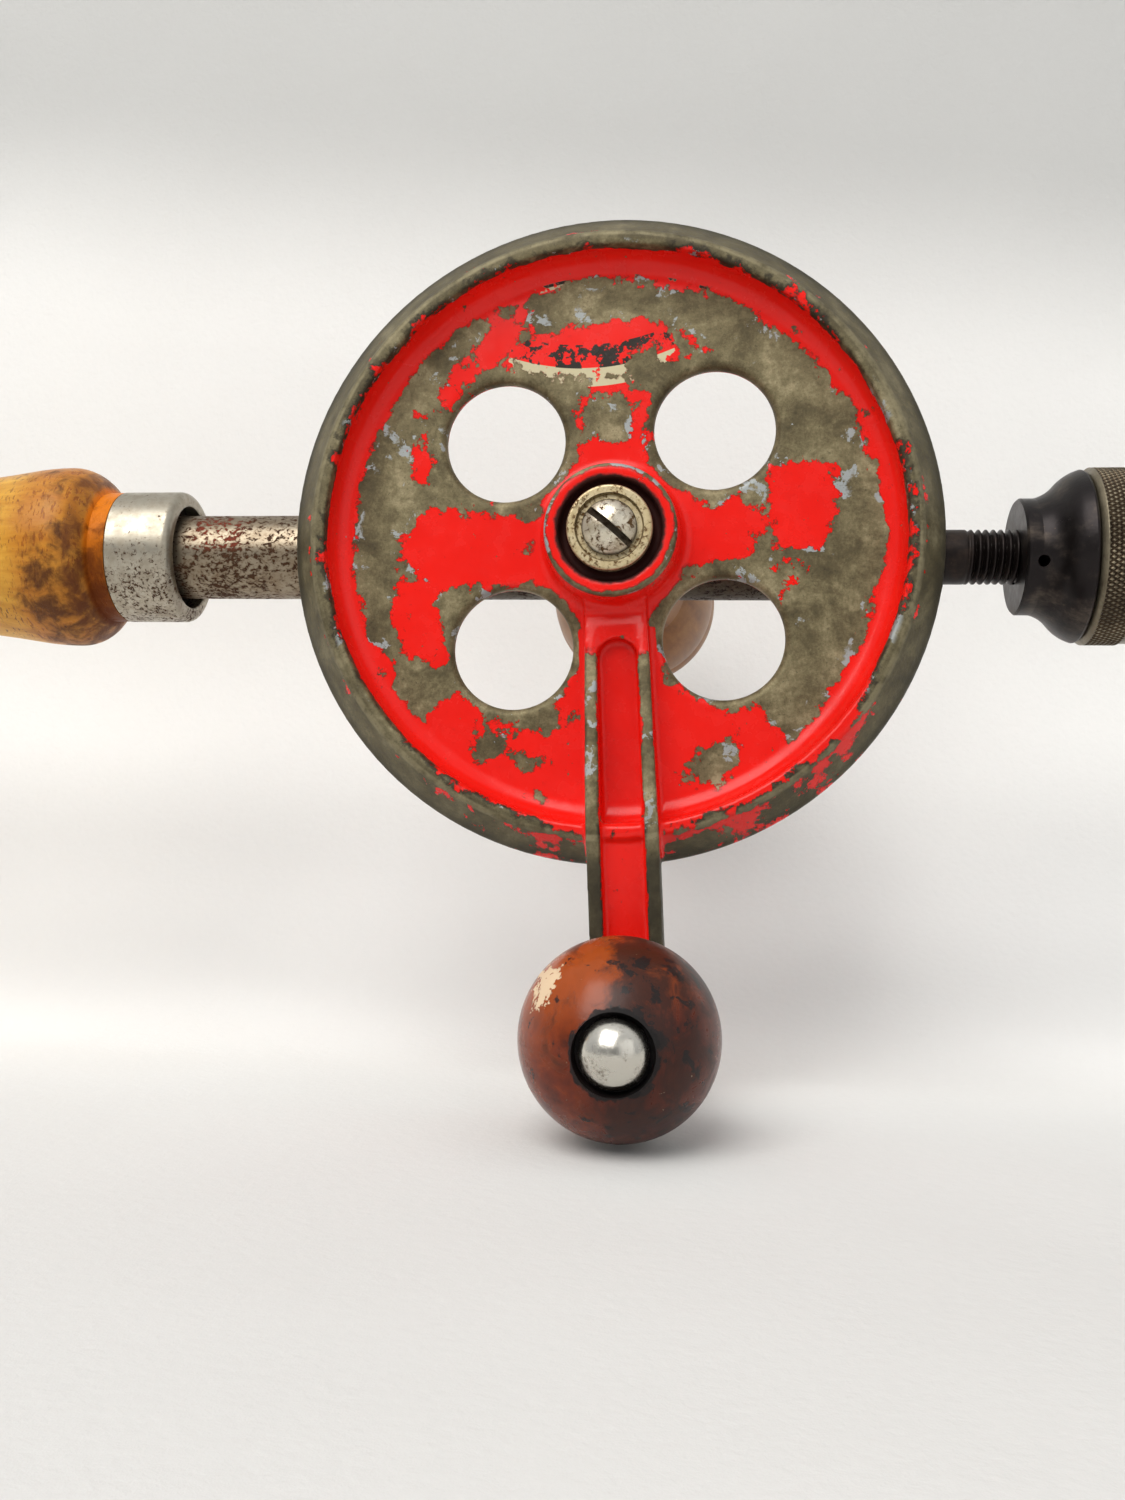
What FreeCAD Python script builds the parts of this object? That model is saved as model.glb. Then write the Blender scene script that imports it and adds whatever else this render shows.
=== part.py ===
import FreeCAD, Part
import math
import os
import re
import Sketcher

# Hand drill with a large crank wheel, bevel gearing, wooden grips and a three-jaw chuck.
# Every outline below is measured from the point where the wheel's axle crosses the spindle.
# X runs along the spindle towards the chuck, Y away from the wheel, Z up.
# The last thing done to each solid is a shift that puts the row's origin in the chuck's grip.

SIZES = [
    # frame tube and spindle
    ("axle_x", -92.0, "axle crossing, measured from the middle of the chuck's grip"),
    ("chamfer", 0.4, "ordinary edge chamfer"),
    ("tube_radius", 6.35, "half-inch frame tube"),
    ("tube_bore", 4.75, "inside radius of the frame tube"),
    ("tube_rear", -128.0, "tube end inside the handle"),
    ("tube_front", 28.5, "tube end behind the pinion"),
    ("cross_hole", 3.2, "radius of the hole for the axle"),
    ("spindle_radius", 3.97, "5/16 inch spindle"),
    ("spindle_rear", 5.2, "inner end of the spindle"),
    ("spindle_front", 65.0, "front end of the spindle, inside the chuck"),
    ("running_gap", 0.04, "radial clearance of the running fits"),
    ("thread_pitch", 1.058, "24 threads to the inch"),
    ("thread_depth", 0.6, "depth of the spindle thread"),
    ("thread_start", 50.2, "first groove of the spindle thread"),
    ("thread_count", 7.0, "grooves left showing behind the chuck"),
    ("collar_radius", 4.5, "retaining collar inside the tube"),
    ("collar_front", 8.7, "front of the retaining collar"),
    ("rear_bush_start", 8.8, "rear of the inner bush"),
    ("rear_bush_end", 15.0, "front of the inner bush"),
    ("front_bush_start", 19.5, "rear of the outer bush, which ends flush with the tube"),
    ("washer_radius", 6.95, "thrust washer, a little wider than the tube"),
    ("washer_front", 29.95, "front of the thrust washer"),
    # bevel gearing
    ("gear_outer", 42.0, "distance from the axle crossing to the outer tooth ends"),
    ("gear_inner", 33.5, "distance from the axle crossing to the inner tooth ends"),
    ("gear_teeth", 56.0, "teeth on the wheel"),
    ("pinion_teeth", 14.0, "teeth on the pinion"),
    ("pitch_radius", 10.5, "pinion pitch radius at the outer tooth ends"),
    ("pinion_tip", 1.45, "pinion addendum"),
    ("gear_tip", 1.1, "wheel addendum"),
    ("tooth_gap", 0.4, "clearance between tips and roots"),
    ("tooth_half", 1.0, "half tooth thickness on the pitch line"),
    ("tooth_slope", 0.364, "tangent of the pressure angle"),
    ("tooth_sink", 0.25, "how far a wheel tooth runs into its rim"),
    ("root_flare", 0.42, "extra half thickness at the pinion's roots"),
    ("low_flare", 0.2, "extra half thickness just inside the pitch line"),
    ("high_taper", 0.3, "half thickness lost outside the pitch line"),
    ("tip_taper", 0.55, "half thickness lost at the pinion's tips"),
    ("pinion_hub", 6.6, "radius of the pinion's hub"),
    ("pinion_rear", 30.0, "rear of the pinion's hub"),
    ("pinion_front", 46.6, "front of the pinion's hub"),
    ("pin_radius", 1.2, "cross pin through the pinion and the spindle"),
    ("pin_station", 44.3, "cross pin along the spindle"),
    # crank wheel
    ("crank_angle", 3.2142857, "crank is half a tooth off the vertical"),
    ("hub_bore", 4.75, "bearing on the axle"),
    ("hub_front", -21.0, "face of the hub's ring"),
    ("hub_radius", 9.0, "outside of the hub's ring"),
    ("hub_recess", 7.1, "radius of the counterbore in the hub"),
    ("hub_recess_depth", 2.8, "depth of the counterbore"),
    ("hub_back", -9.3, "back of the hub, against the axle's saddle"),
    ("hub_foot", 1.6, "fillets where the hub meets the web"),
    ("web_front", -14.0, "front of the web"),
    ("web_back", -11.0, "back of the web"),
    ("bead_front", -18.8, "front of the raised rim"),
    ("bead_inner", 39.9, "inside of the raised rim"),
    ("bead_outer", 41.8, "outside of the raised rim's crest"),
    ("bead_foot", 3.0, "fillet where the web meets the raised rim"),
    ("rim_radius", 45.4, "outside of the wheel"),
    ("rim_back", -10.1, "back of the rim"),
    ("lip_inner", 43.2, "inside of the lip behind the rim"),
    ("hole_radius", 8.45, "four lightening holes"),
    ("hole_centre", 20.8, "radius of the circle of holes"),
    ("hole_round", 1.1, "rounding on the edges of the holes"),
    ("arm_back", -14.0, "back of the crank arm"),
    ("arm_floor", -18.2, "floor of the channel outside the rim"),
    ("rib_top", -20.4, "tops of the ribs"),
    ("rib_root", -15.6, "lower top of the ribs beside the hub"),
    ("head_front", -16.0, "top of the bridge between hub and channel"),
    ("channel_start", 16.2, "where the channel reaches its full width, from the axle"),
    ("channel_half", 2.7, "half width of the channel there"),
    ("channel_arch", 2.8, "curve of the channel's arched start"),
    ("rib_inner_end", 10.2, "inner ends of the ribs, from the axle"),
    ("rib_crest", 36.9, "where the ribs reach their full height, from the axle"),
    ("arm_half", 4.9, "half width of the crank arm"),
    ("rib_half", 4.3, "half width across the ribs beside the hub"),
    ("rib_width", 1.9, "width of a rib outside the rim"),
    ("crank_radius", 64.6, "axle to knob"),
    ("boss_radius", 7.4, "round end of the crank arm"),
    ("boss_front", -21.4, "face of the boss under the knob"),
    # axle
    ("axle_flange", 7.6, "radius of the axle's saddle"),
    ("axle_flange_front", -9.2, "face of the saddle behind the wheel"),
    ("axle_end", -20.7, "front end of the axle"),
    ("axle_rear", 24.0, "end of the axle's rear thread"),
    ("axle_thread", 3.0, "radius of the axle's rear thread"),
    ("axle_washer_radius", 5.8, "cupped washer"),
    ("axle_washer_front", -22.1, "rim of the cupped washer"),
    ("washer_edge", 0.35, "rounding of the cupped washer"),
    ("washer_cup", 0.7, "depth of the washer's cup"),
    ("axle_screw_head", 3.72, "radius of the screw's head"),
    ("axle_screw_shank", 2.0, "radius of the screw's shank"),
    ("axle_screw_length", 8.0, "screw inside the axle"),
    ("slot_width", 0.95, "screw slot"),
    ("slot_depth", 2.1, "slot's floor behind a plane just before the head"),
    ("slot_angle", 40.0, "screw slot to the spindle"),
    # crank knob
    ("knob_neck", 7.0, "neck of the knob against the boss"),
    ("knob_neck_round", 0.6, "rounding of the neck's end"),
    ("knob_neck_end", -26.57, "where the neck's hollow meets the ball"),
    ("knob_hollow", 9.36, "hollow between neck and ball"),
    ("knob_rear", -22.5, "rear of the knob"),
    ("knob_ball", 12.0, "radius of the knob's ball"),
    ("knob_ball_start", 50.0, "where the ball begins, from its own rear pole"),
    ("knob_centre", -40.3, "centre of the ball"),
    ("knob_recess", 4.7, "recess for the pin's head"),
    ("knob_recess_floor", -48.8, "floor of the recess"),
    ("knob_pin_radius", 2.5, "pin through the knob"),
    ("knob_head", 3.95, "domed head of the pin"),
    ("knob_head_edge", 2.0, "height of the head's rim over the recess floor"),
    ("knob_head_dome", 4.3, "curve of the head"),
    ("knob_head_height", 4.6, "height of the head over the recess floor"),
    # main handle and ferrule
    ("handle_end", -178.0, "butt of the handle"),
    ("butt_dome", 24.0, "curve of the butt"),
    ("butt_corner_at", 2.81, "start of the butt's corner, from the end"),
    ("butt_corner", 11.27, "radius where the corner starts"),
    ("butt_corner_round", 7.0, "curve of the corner"),
    ("butt_side_at", 10.39, "end of the corner, from the end"),
    ("butt_side", 14.84, "radius where the corner ends"),
    ("waist_at", 53.0, "waist, from the end"),
    ("waist_rear_sweep", 211.0, "curve from the corner to the waist"),
    ("waist_front_sweep", 225.0, "curve from the waist to the bulge"),
    ("handle_waist", 10.5, "radius at the waist"),
    ("bulge_start_at", 88.2, "end of the waist's curve, from the end"),
    ("bulge_start", 13.27, "radius where the bulge starts"),
    ("bulge_sweep", 36.0, "curve of the bulge"),
    ("bulge_at", 93.8, "widest part, from the end"),
    ("handle_bulge", 13.71, "radius of the bulge"),
    ("shoulder_round", 6.0, "curve of the shoulder"),
    ("neck_at", 99.4, "foot of the shoulder, from the end"),
    ("handle_neck", 9.9, "neck behind the ferrule"),
    ("handle_tenon", 8.95, "wood inside the ferrule"),
    ("handle_front", -69.0, "front of the tenon"),
    ("ferrule_radius", 9.95, "outside of the ferrule"),
    ("ferrule_rear", -76.1, "rear edge of the ferrule"),
    ("ferrule_front", -66.1, "front face of the ferrule"),
    ("ferrule_round", 1.3, "rolled front edge"),
    ("ferrule_mouth", 7.75, "mouth of the ferrule round the tube"),
    ("ferrule_wall", 0.9, "thickness of the ferrule's front"),
    ("pole_flat", 0.8, "small flat in the middle of the domed ends"),
    # side handle
    ("nut_rear", 8.6, "face of the lock nut"),
    ("nut_front", 12.6, "other face of the lock nut"),
    ("nut_half", 5.5, "half the lock nut's width across flats"),
    ("side_start", 12.8, "inner end of the side handle"),
    ("side_neck_round", 0.8, "rounding of the inner end"),
    ("side_neck", 8.0, "neck of the side handle"),
    ("side_flare_at", 5.0, "end of the neck, from the inner end"),
    ("side_flare", 20.0, "hollow between neck and grip"),
    ("side_rise_at", 13.0, "end of the hollow, from the inner end"),
    ("side_rise", 9.5, "radius at the end of the hollow"),
    ("side_sweep", 30.0, "curve up to the widest part"),
    ("side_wide_at", 31.0, "widest part, from the inner end"),
    ("side_radius", 14.0, "widest part of the side handle"),
    ("side_corner", 12.5, "curve of the outer end"),
    ("side_dome_at", 4.6, "start of the end dome, from the outer end"),
    ("side_dome_radius", 9.0, "radius where the end dome starts"),
    ("side_dome", 18.0, "curve of the end dome"),
    ("side_end", 62.0, "outer end of the side handle"),
    ("insert_radius", 4.6, "threaded insert"),
    ("insert_end", 27.0, "inner end of the insert"),
    # chuck
    ("chuck_rear", 57.4, "rear face of the chuck body"),
    ("chuck_rear_radius", 8.4, "radius of the rear face"),
    ("rear_chamfer", 0.3, "edge of the rear face"),
    ("chuck_hollow_at", 2.2, "first hollow, from the rear face"),
    ("chuck_hollow", 5.6, "curve of the first hollow"),
    ("chuck_swell_at", 5.3, "end of the first hollow, from the rear face"),
    ("chuck_swell_radius", 10.4, "radius where the flare begins"),
    ("chuck_swell", 6.4, "curve of the flare"),
    ("chuck_flare", 12.4, "largest radius of the body"),
    ("chuck_shoulder", 66.2, "front of the body's flare"),
    ("shoulder_edge", 0.5, "rounding of the flare's edge"),
    ("core_radius", 10.9, "body inside the sleeve"),
    ("core_nose", 7.7, "front end of the body"),
    ("nose_chamfer", 0.6, "edge of the body's nose"),
    ("chuck_front", 94.5, "front of the body"),
    ("shank_bore", 3.4, "hole for the drill bit's shank"),
    ("shank_floor", 79.4, "floor of that hole"),
    ("drill_point", 2.0, "depth of the cone below that floor"),
    ("spindle_socket", 65.5, "floor of the spindle's hole"),
    ("groove_radius", 8.0, "floor of the nut's groove"),
    ("groove_rear", 76.4, "rear wall of the nut's groove"),
    ("groove_front", 80.6, "front wall of the nut's groove"),
    ("cone_start", 9.6, "radius of the body in front of the groove"),
    ("sleeve_rear", 66.4, "rear face of the sleeve"),
    ("sleeve_bevel", 0.7, "bevel behind the knurled band"),
    ("band_step", 0.3, "slope in front of the knurled band"),
    ("sleeve_band", 71.9, "front of the knurled band"),
    ("band_radius", 12.7, "one-inch knurled band"),
    ("sleeve_radius", 12.45, "sleeve in front of the band"),
    ("sleeve_taper_at", 80.9, "where the sleeve starts to narrow"),
    ("sleeve_taper", 26.0, "curve of the nose"),
    ("sleeve_bore", 11.0, "inside of the sleeve round the nut and the body"),
    ("sleeve_front", 92.0, "front of the sleeve"),
    ("sleeve_nose", 9.3, "front edge of the sleeve"),
    ("nose_round", 0.5, "rounding of the front edge"),
    ("mouth_gap", 0.6, "between the sleeve's mouth and the body's nose"),
    ("jaw_angle", 13.0, "jaw axis to spindle axis"),
    ("jaw_radius", 1.9, "jaw rods"),
    ("jaw_offset", 4.2, "jaw axis to spindle axis at jaw_station"),
    ("jaw_station", 89.0, "where that offset is measured"),
    ("jaw_rear", 69.0, "rear ends of the jaws"),
    ("jaw_front", 97.0, "front ends of the jaws"),
    ("jaw_wedge", 2.2, "apex of the jaw's wedge"),
    ("grip_radius", 3.175, "quarter-inch shank held in the jaws"),
    ("nut_gap", 0.1, "end play of the ring nut in its groove"),
    ("nut_inner_rear", 9.2, "hole of the ring nut, rear"),
    ("nut_inner_front", 8.3, "hole of the ring nut, front"),
    ("nut_split_width", 0.2, "gap between the nut's halves"),
    ("spanner_hole", 0.8, "hole for tightening the body on the spindle"),
    ("spanner_station", 59.6, "spanner hole along the spindle"),
    ("spanner_drop", -2.0, "spanner hole below the spindle's axis"),
]

ALIASES = {row[0] for row in SIZES}
NODES = []
X_AXIS = FreeCAD.Vector(1, 0, 0)
Y_AXIS = FreeCAD.Vector(0, 1, 0)

doc = FreeCAD.newDocument("HandDrill")
sheet = doc.addObject("Spreadsheet::Sheet", "Sizes")
for row_number, (alias, value, note) in enumerate(SIZES, 1):
    sheet.set("A%d" % row_number, alias)
    sheet.set("B%d" % row_number, str(value))
    sheet.set("C%d" % row_number, note)
    sheet.setAlias("B%d" % row_number, alias)
doc.recompute()


# ---------------------------------------------------------------- helpers

def bound(text):
    """The expression with every size name pointing at its cell."""
    return re.sub(r"[a-z]\w*", lambda word: "Sizes." + word[0] if word[0] in ALIASES else word[0], str(text))


def size(text):
    """The value of an expression, in millimetres."""
    value = sheet.evalExpression(bound(text))
    return float(getattr(value, "Value", value))


def new_body(name):
    return doc.addObject("PartDesign::Body", name)


def plane_of(body, role):
    return [item for item in body.Origin.OriginFeatures if item.Role == role][0]


def arc_centre(start, stop, radius, turn):
    """Centre of the short arc from start to stop that bends to the named side."""
    chord = stop - start
    left = FreeCAD.Vector(-chord.y, chord.x, 0)
    left.normalize()
    height = math.sqrt(max(radius ** 2 - chord.Length ** 2 / 4, 0))
    side = 1 if turn == "left" else -1
    return (start + stop) * 0.5 + left * height * side


def add_arc(sketch, start, stop, radius, turn):
    centre = arc_centre(start, stop, radius, turn)
    first, last = (start, stop) if turn == "left" else (stop, start)
    begin = math.atan2(first.y - centre.y, first.x - centre.x)
    end = math.atan2(last.y - centre.y, last.x - centre.x)
    if end < begin:
        end += 2 * math.pi
    sketch.addGeometry(Part.ArcOfCircle(Part.Circle(centre, FreeCAD.Vector(0, 0, 1), radius), begin, end))


def fix_corner(sketch, piece, corner, across, up):
    """Ties one corner of a sketch to the sheet."""
    for kind, text, axis in (("DistanceX", across, -2), ("DistanceY", up, -1)):
        if str(text) == "0":
            sketch.addConstraint(Sketcher.Constraint("PointOnObject", piece, corner, axis))
            continue
        number = sketch.addConstraint(Sketcher.Constraint(kind, -1, 1, piece, corner, size(text)))
        sketch.setExpression("Constraints[%d]" % number, bound(text))


def new_sketch(body, name, role, offset=None):
    sketch = body.newObject("Sketcher::SketchObject", name)
    sketch.AttachmentSupport = [(plane_of(body, role), "")]
    sketch.MapMode = "FlatFace"
    if offset is not None:
        sketch.setExpression("AttachmentOffset.Base.z", bound(offset))
    return sketch


def outline(body, name, role, steps, offset=None):
    """Closed sketch. A step is (across, up), or (across, up, radius, turn) when an arc leaves it."""
    sketch = new_sketch(body, name, role, offset)
    corners = [FreeCAD.Vector(size(step[0]), size(step[1]), 0) for step in steps]
    ends = []
    for number, step in enumerate(steps):
        start = corners[number]
        stop = corners[(number + 1) % len(steps)]
        if len(step) == 2:
            sketch.addGeometry(Part.LineSegment(start, stop))
            ends.append((1, 2))
        else:
            add_arc(sketch, start, stop, size(step[2]), step[3])
            ends.append((1, 2) if step[3] == "left" else (2, 1))
    for number in range(len(steps)):
        following = (number + 1) % len(steps)
        joint = Sketcher.Constraint("Coincident", number, ends[number][1], following, ends[following][0])
        sketch.addConstraint(joint)
    for number, step in enumerate(steps):
        fix_corner(sketch, number, ends[number][0], step[0], step[1])
        if len(step) == 4:
            item = sketch.addConstraint(Sketcher.Constraint("Radius", number, size(step[2])))
            sketch.setExpression("Constraints[%d]" % item, bound(step[2]))
    return sketch


def circles(body, name, role, centres, radius, offset=None):
    sketch = new_sketch(body, name, role, offset)
    for number, (across, up) in enumerate(centres):
        centre = FreeCAD.Vector(size(across), size(up), 0)
        sketch.addGeometry(Part.Circle(centre, FreeCAD.Vector(0, 0, 1), size(radius)))
        fix_corner(sketch, number, 3, across, up)
        item = sketch.addConstraint(Sketcher.Constraint("Radius", number, size(radius)))
        sketch.setExpression("Constraints[%d]" % item, bound(radius))
    return sketch


def turn_profile(body, name, role, axis, steps, groove=False):
    """Turns an outline about a sketch axis, adding or cutting."""
    profile = outline(body, name + "_outline", role, steps)
    kind = "PartDesign::Groove" if groove else "PartDesign::Revolution"
    turned = body.newObject(kind, name)
    turned.Profile = profile
    turned.ReferenceAxis = (profile, [axis])
    turned.Angle = 360
    return turned


def turned_on_x(name, steps):
    """Body of revolution about the spindle; steps are (along, radius)."""
    body = new_body(name)
    turn_profile(body, name + "_turning", "XZ_Plane", "H_Axis", steps)
    return body


def turned_on_y(name, steps):
    """Body of revolution about the axle; steps are (radius, along)."""
    body = new_body(name)
    turn_profile(body, name + "_turning", "XY_Plane", "V_Axis", steps)
    return body


def pad(body, name, sketch, length, reverse=False, middle=False):
    feature = body.newObject("PartDesign::Pad", name)
    feature.Profile = sketch
    feature.setExpression("Length", bound(length))
    feature.Reversed = reverse
    feature.Midplane = middle
    return feature


def pocket(body, name, sketch, length=None, reverse=False):
    """Cut of a given depth, or through everything both ways when no depth is given."""
    feature = body.newObject("PartDesign::Pocket", name)
    feature.Profile = sketch
    feature.Reversed = reverse
    if length is None:
        feature.Type = 1
        feature.Midplane = True
    else:
        feature.setExpression("Length", bound(length))
    return feature


def round_edges(body, name, base, radius, chosen):
    """Rounds the edges of base that pass the chosen test."""
    doc.recompute()
    names = ["Edge%d" % (number + 1) for number, edge in enumerate(base.Shape.Edges) if chosen(edge)]
    feature = body.newObject("PartDesign::Fillet", name)
    feature.Base = (base, names)
    feature.setExpression("Radius", bound(radius))
    return feature


def place(item, shift_x="axle_x", shift_z=None, angle=None, axis=Y_AXIS):
    """Moves a finished piece from the axle's frame into the row's frame."""
    if angle is not None:
        item.Placement.Rotation = FreeCAD.Rotation(axis, size(angle))
        item.setExpression(".Placement.Rotation.Angle", bound(angle) + " * 1 deg")
    item.setExpression(".Placement.Base.x", bound(shift_x))
    if shift_z is not None:
        item.setExpression(".Placement.Base.z", bound(shift_z))


def node(item, name):
    item.Label = name
    NODES.append((item, name))


def cylinder(name, radius, height, along="X", start="0"):
    """Part cylinder on the X or Y axis."""
    item = doc.addObject("Part::Cylinder", name)
    item.setExpression("Radius", bound(radius))
    item.setExpression("Height", bound(height))
    direction = X_AXIS if along == "X" else Y_AXIS
    item.Placement.Rotation = FreeCAD.Rotation(FreeCAD.Vector(0, 0, 1), direction)
    item.setExpression(".Placement.Base." + along.lower(), bound(start))
    return item


def cut(name, base, tool):
    item = doc.addObject("Part::Cut", name)
    item.Base = base
    item.Tool = tool
    return item


# ---------------------------------------------------------------- frame

def frame_tube():
    body = turned_on_x("frame_tube", [
        ("tube_rear", "tube_bore"),
        ("tube_rear", "tube_radius"),
        ("tube_front", "tube_radius"),
        ("tube_front", "tube_bore"),
    ])
    hole = circles(body, "axle_hole", "XZ_Plane", [("0", "0")], "cross_hole")
    pocket(body, "axle_cut", hole)
    place(body)
    node(body, "frame_tube")


def bush(name, start, end):
    body = turned_on_x(name, [
        (start, "spindle_radius + running_gap"),
        (start, "tube_bore"),
        (end, "tube_bore"),
        (end, "spindle_radius + running_gap"),
    ])
    place(body)
    node(body, name)


# ---------------------------------------------------------------- spindle

def spindle():
    body = turned_on_x("spindle", [
        ("spindle_rear", "0"),
        ("spindle_rear", "spindle_radius - chamfer"),
        ("spindle_rear + chamfer", "spindle_radius"),
        ("spindle_front - chamfer", "spindle_radius"),
        ("spindle_front", "spindle_radius - chamfer"),
        ("spindle_front", "0"),
    ])
    groove = turn_profile(body, "thread_groove", "XZ_Plane", "H_Axis", [
        ("thread_start", "spindle_radius + 0.01"),
        ("thread_start + thread_pitch * 0.44", "spindle_radius - thread_depth"),
        ("thread_start + thread_pitch * 0.56", "spindle_radius - thread_depth"),
        ("thread_start + thread_pitch * 0.98", "spindle_radius + 0.01"),
    ], groove=True)
    rows = body.newObject("PartDesign::LinearPattern", "thread_rows")
    rows.Originals = [groove]
    rows.Direction = (groove.Profile[0], ["H_Axis"])
    rows.setExpression("Length", bound("thread_pitch * (thread_count - 1)"))
    rows.setExpression("Occurrences", bound("thread_count"))
    body.Tip = rows
    pin_hole = circles(body, "pin_hole", "XY_Plane", [("pin_station", "0")], "pin_radius")
    pocket(body, "pin_cut", pin_hole)
    place(body)
    node(body, "spindle")


def spindle_collar():
    body = turned_on_x("spindle_collar", [
        ("spindle_rear + chamfer", "spindle_radius"),
        ("spindle_rear + chamfer", "collar_radius"),
        ("collar_front", "collar_radius"),
        ("collar_front", "spindle_radius"),
    ])
    place(body)
    node(body, "spindle_collar")


def thrust_washer():
    body = turned_on_x("thrust_washer", [
        ("tube_front", "spindle_radius + running_gap"),
        ("tube_front", "washer_radius"),
        ("washer_front", "washer_radius"),
        ("washer_front", "spindle_radius + running_gap"),
    ])
    place(body)
    node(body, "thrust_washer")


def pinion_section(body, name, station):
    """Outline of all the pinion's teeth at one distance from the axle crossing."""
    scale = "(%s / gear_outer)" % station
    rise = [
        ("pitch_radius - gear_tip - tooth_gap", "tooth_half + root_flare"),
        ("pitch_radius - gear_tip * 0.5", "tooth_half + low_flare"),
        ("pitch_radius", "tooth_half"),
        ("pitch_radius + pinion_tip * 0.6", "tooth_half - high_taper"),
        ("pitch_radius + pinion_tip", "tooth_half - tip_taper"),
    ]
    sketch = new_sketch(body, name, "YZ_Plane", station)
    corners = []
    for tooth in range(int(size("pinion_teeth"))):
        middle = math.pi + tooth * 2 * math.pi / size("pinion_teeth")
        left = [(size(radius), -size(half) / size(radius)) for radius, half in rise]
        right = [(size(radius), size(half) / size(radius)) for radius, half in reversed(rise)]
        for radius, swing in left + right:
            reach = radius * size(scale)
            angle = middle + swing
            corners.append(FreeCAD.Vector(reach * math.cos(angle), reach * math.sin(angle), 0))
    for number, corner in enumerate(corners):
        sketch.addGeometry(Part.LineSegment(corner, corners[(number + 1) % len(corners)]))
        sketch.addConstraint(Sketcher.Constraint("Block", number))
    for number in range(len(corners)):
        following = (number + 1) % len(corners)
        sketch.addConstraint(Sketcher.Constraint("Coincident", number, 2, following, 1))
    return sketch


def pinion():
    """Fourteen straight bevel teeth that all point at the axle crossing."""
    body = new_body("pinion")
    inner = pinion_section(body, "inner_tooth_ends", "gear_inner")
    outer = pinion_section(body, "outer_tooth_ends", "gear_outer")
    teeth = body.newObject("PartDesign::AdditiveLoft", "pinion_teeth")
    teeth.Profile = inner
    teeth.Sections = [outer]
    teeth.Ruled = True
    turn_profile(body, "pinion_hubs", "XZ_Plane", "H_Axis", [
        ("pinion_rear", "0"),
        ("pinion_rear", "pinion_hub - chamfer"),
        ("pinion_rear + chamfer", "pinion_hub"),
        ("pinion_front - chamfer", "pinion_hub"),
        ("pinion_front", "pinion_hub - chamfer"),
        ("pinion_front", "0"),
    ])
    bore = circles(body, "pinion_bore", "YZ_Plane", [("0", "0")], "spindle_radius")
    pocket(body, "pinion_bore_cut", bore)
    pin_hole = circles(body, "pin_hole_pinion", "XY_Plane", [("pin_station", "0")], "pin_radius")
    pocket(body, "pin_cut_pinion", pin_hole)
    place(body)
    node(body, "pinion")


def pinion_pin():
    body = new_body("pinion_pin")
    section = circles(body, "pin_section", "XY_Plane", [("pin_station", "0")], "pin_radius")
    pad(body, "pin_rod", section, "(pinion_hub - chamfer) * 2", middle=True)
    place(body)
    node(body, "pinion_pin")


# ---------------------------------------------------------------- crank wheel

def wheel_blank(body):
    turn_profile(body, "wheel_turning", "XY_Plane", "V_Axis", [
        ("hub_bore", "axle_end + 0.1"),
        ("hub_recess - 1.5", "axle_end + 0.1"),
        ("hub_recess - 1.3", "hub_front + hub_recess_depth"),
        ("hub_recess - 0.1", "hub_front + hub_recess_depth"),
        ("hub_recess", "hub_front"),
        ("hub_radius - chamfer", "hub_front", "chamfer", "left"),
        ("hub_radius", "hub_front + chamfer"),
        ("hub_radius + 0.6", "web_front - 1.3", "hub_foot", "right"),
        ("hub_radius + 1.9", "web_front"),
        ("bead_inner - bead_foot", "web_front", "bead_foot", "right"),
        ("bead_inner - 0.2", "web_front - 2.6"),
        ("bead_inner", "bead_front + chamfer", "chamfer", "left"),
        ("bead_inner + chamfer", "bead_front"),
        ("bead_outer - 0.5", "bead_front", 0.6, "left"),
        ("bead_outer", "bead_front + 0.35"),
        ("rim_radius - 0.5", "web_front - 0.3", 1.1, "left"),
        ("rim_radius", "web_front + 0.6"),
        ("rim_radius", "rim_back - chamfer", "chamfer", "left"),
        ("rim_radius - chamfer", "rim_back"),
        ("lip_inner + chamfer", "rim_back", "chamfer", "left"),
        ("lip_inner", "rim_back - chamfer"),
        ("lip_inner", "-pitch_radius - pinion_tip - tooth_gap - 0.4"),
        ("gear_outer + 0.3", "(-pitch_radius - pinion_tip - tooth_gap) * (gear_outer + 0.3) / gear_outer"),
        ("gear_inner - 0.4", "(-pitch_radius - pinion_tip - tooth_gap) * (gear_inner - 0.4) / gear_outer"),
        ("gear_inner - 2.0", "web_back"),
        ("hub_radius + 2.0", "web_back", "hub_foot", "right"),
        ("hub_radius + 1.0", "web_back + 0.8"),
        ("hub_radius + 0.5", "hub_back"),
        ("hub_bore", "hub_back"),
    ])


def wheel_holes(body):
    reach = "hole_centre * sqrt(0.5)"
    back = "-hole_centre * sqrt(0.5)"
    centres = [(reach, reach), (back, reach), (back, back), (reach, back)]
    sketch = circles(body, "web_holes", "XZ_Plane", centres, "hole_radius")
    holes = pocket(body, "web_hole_cut", sketch)

    def is_hole_edge(edge):
        curve = edge.Curve
        return hasattr(curve, "Radius") and abs(curve.Radius - size("hole_radius")) < 0.001

    round_edges(body, "web_hole_rounding", holes, "hole_round", is_hole_edge)


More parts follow.
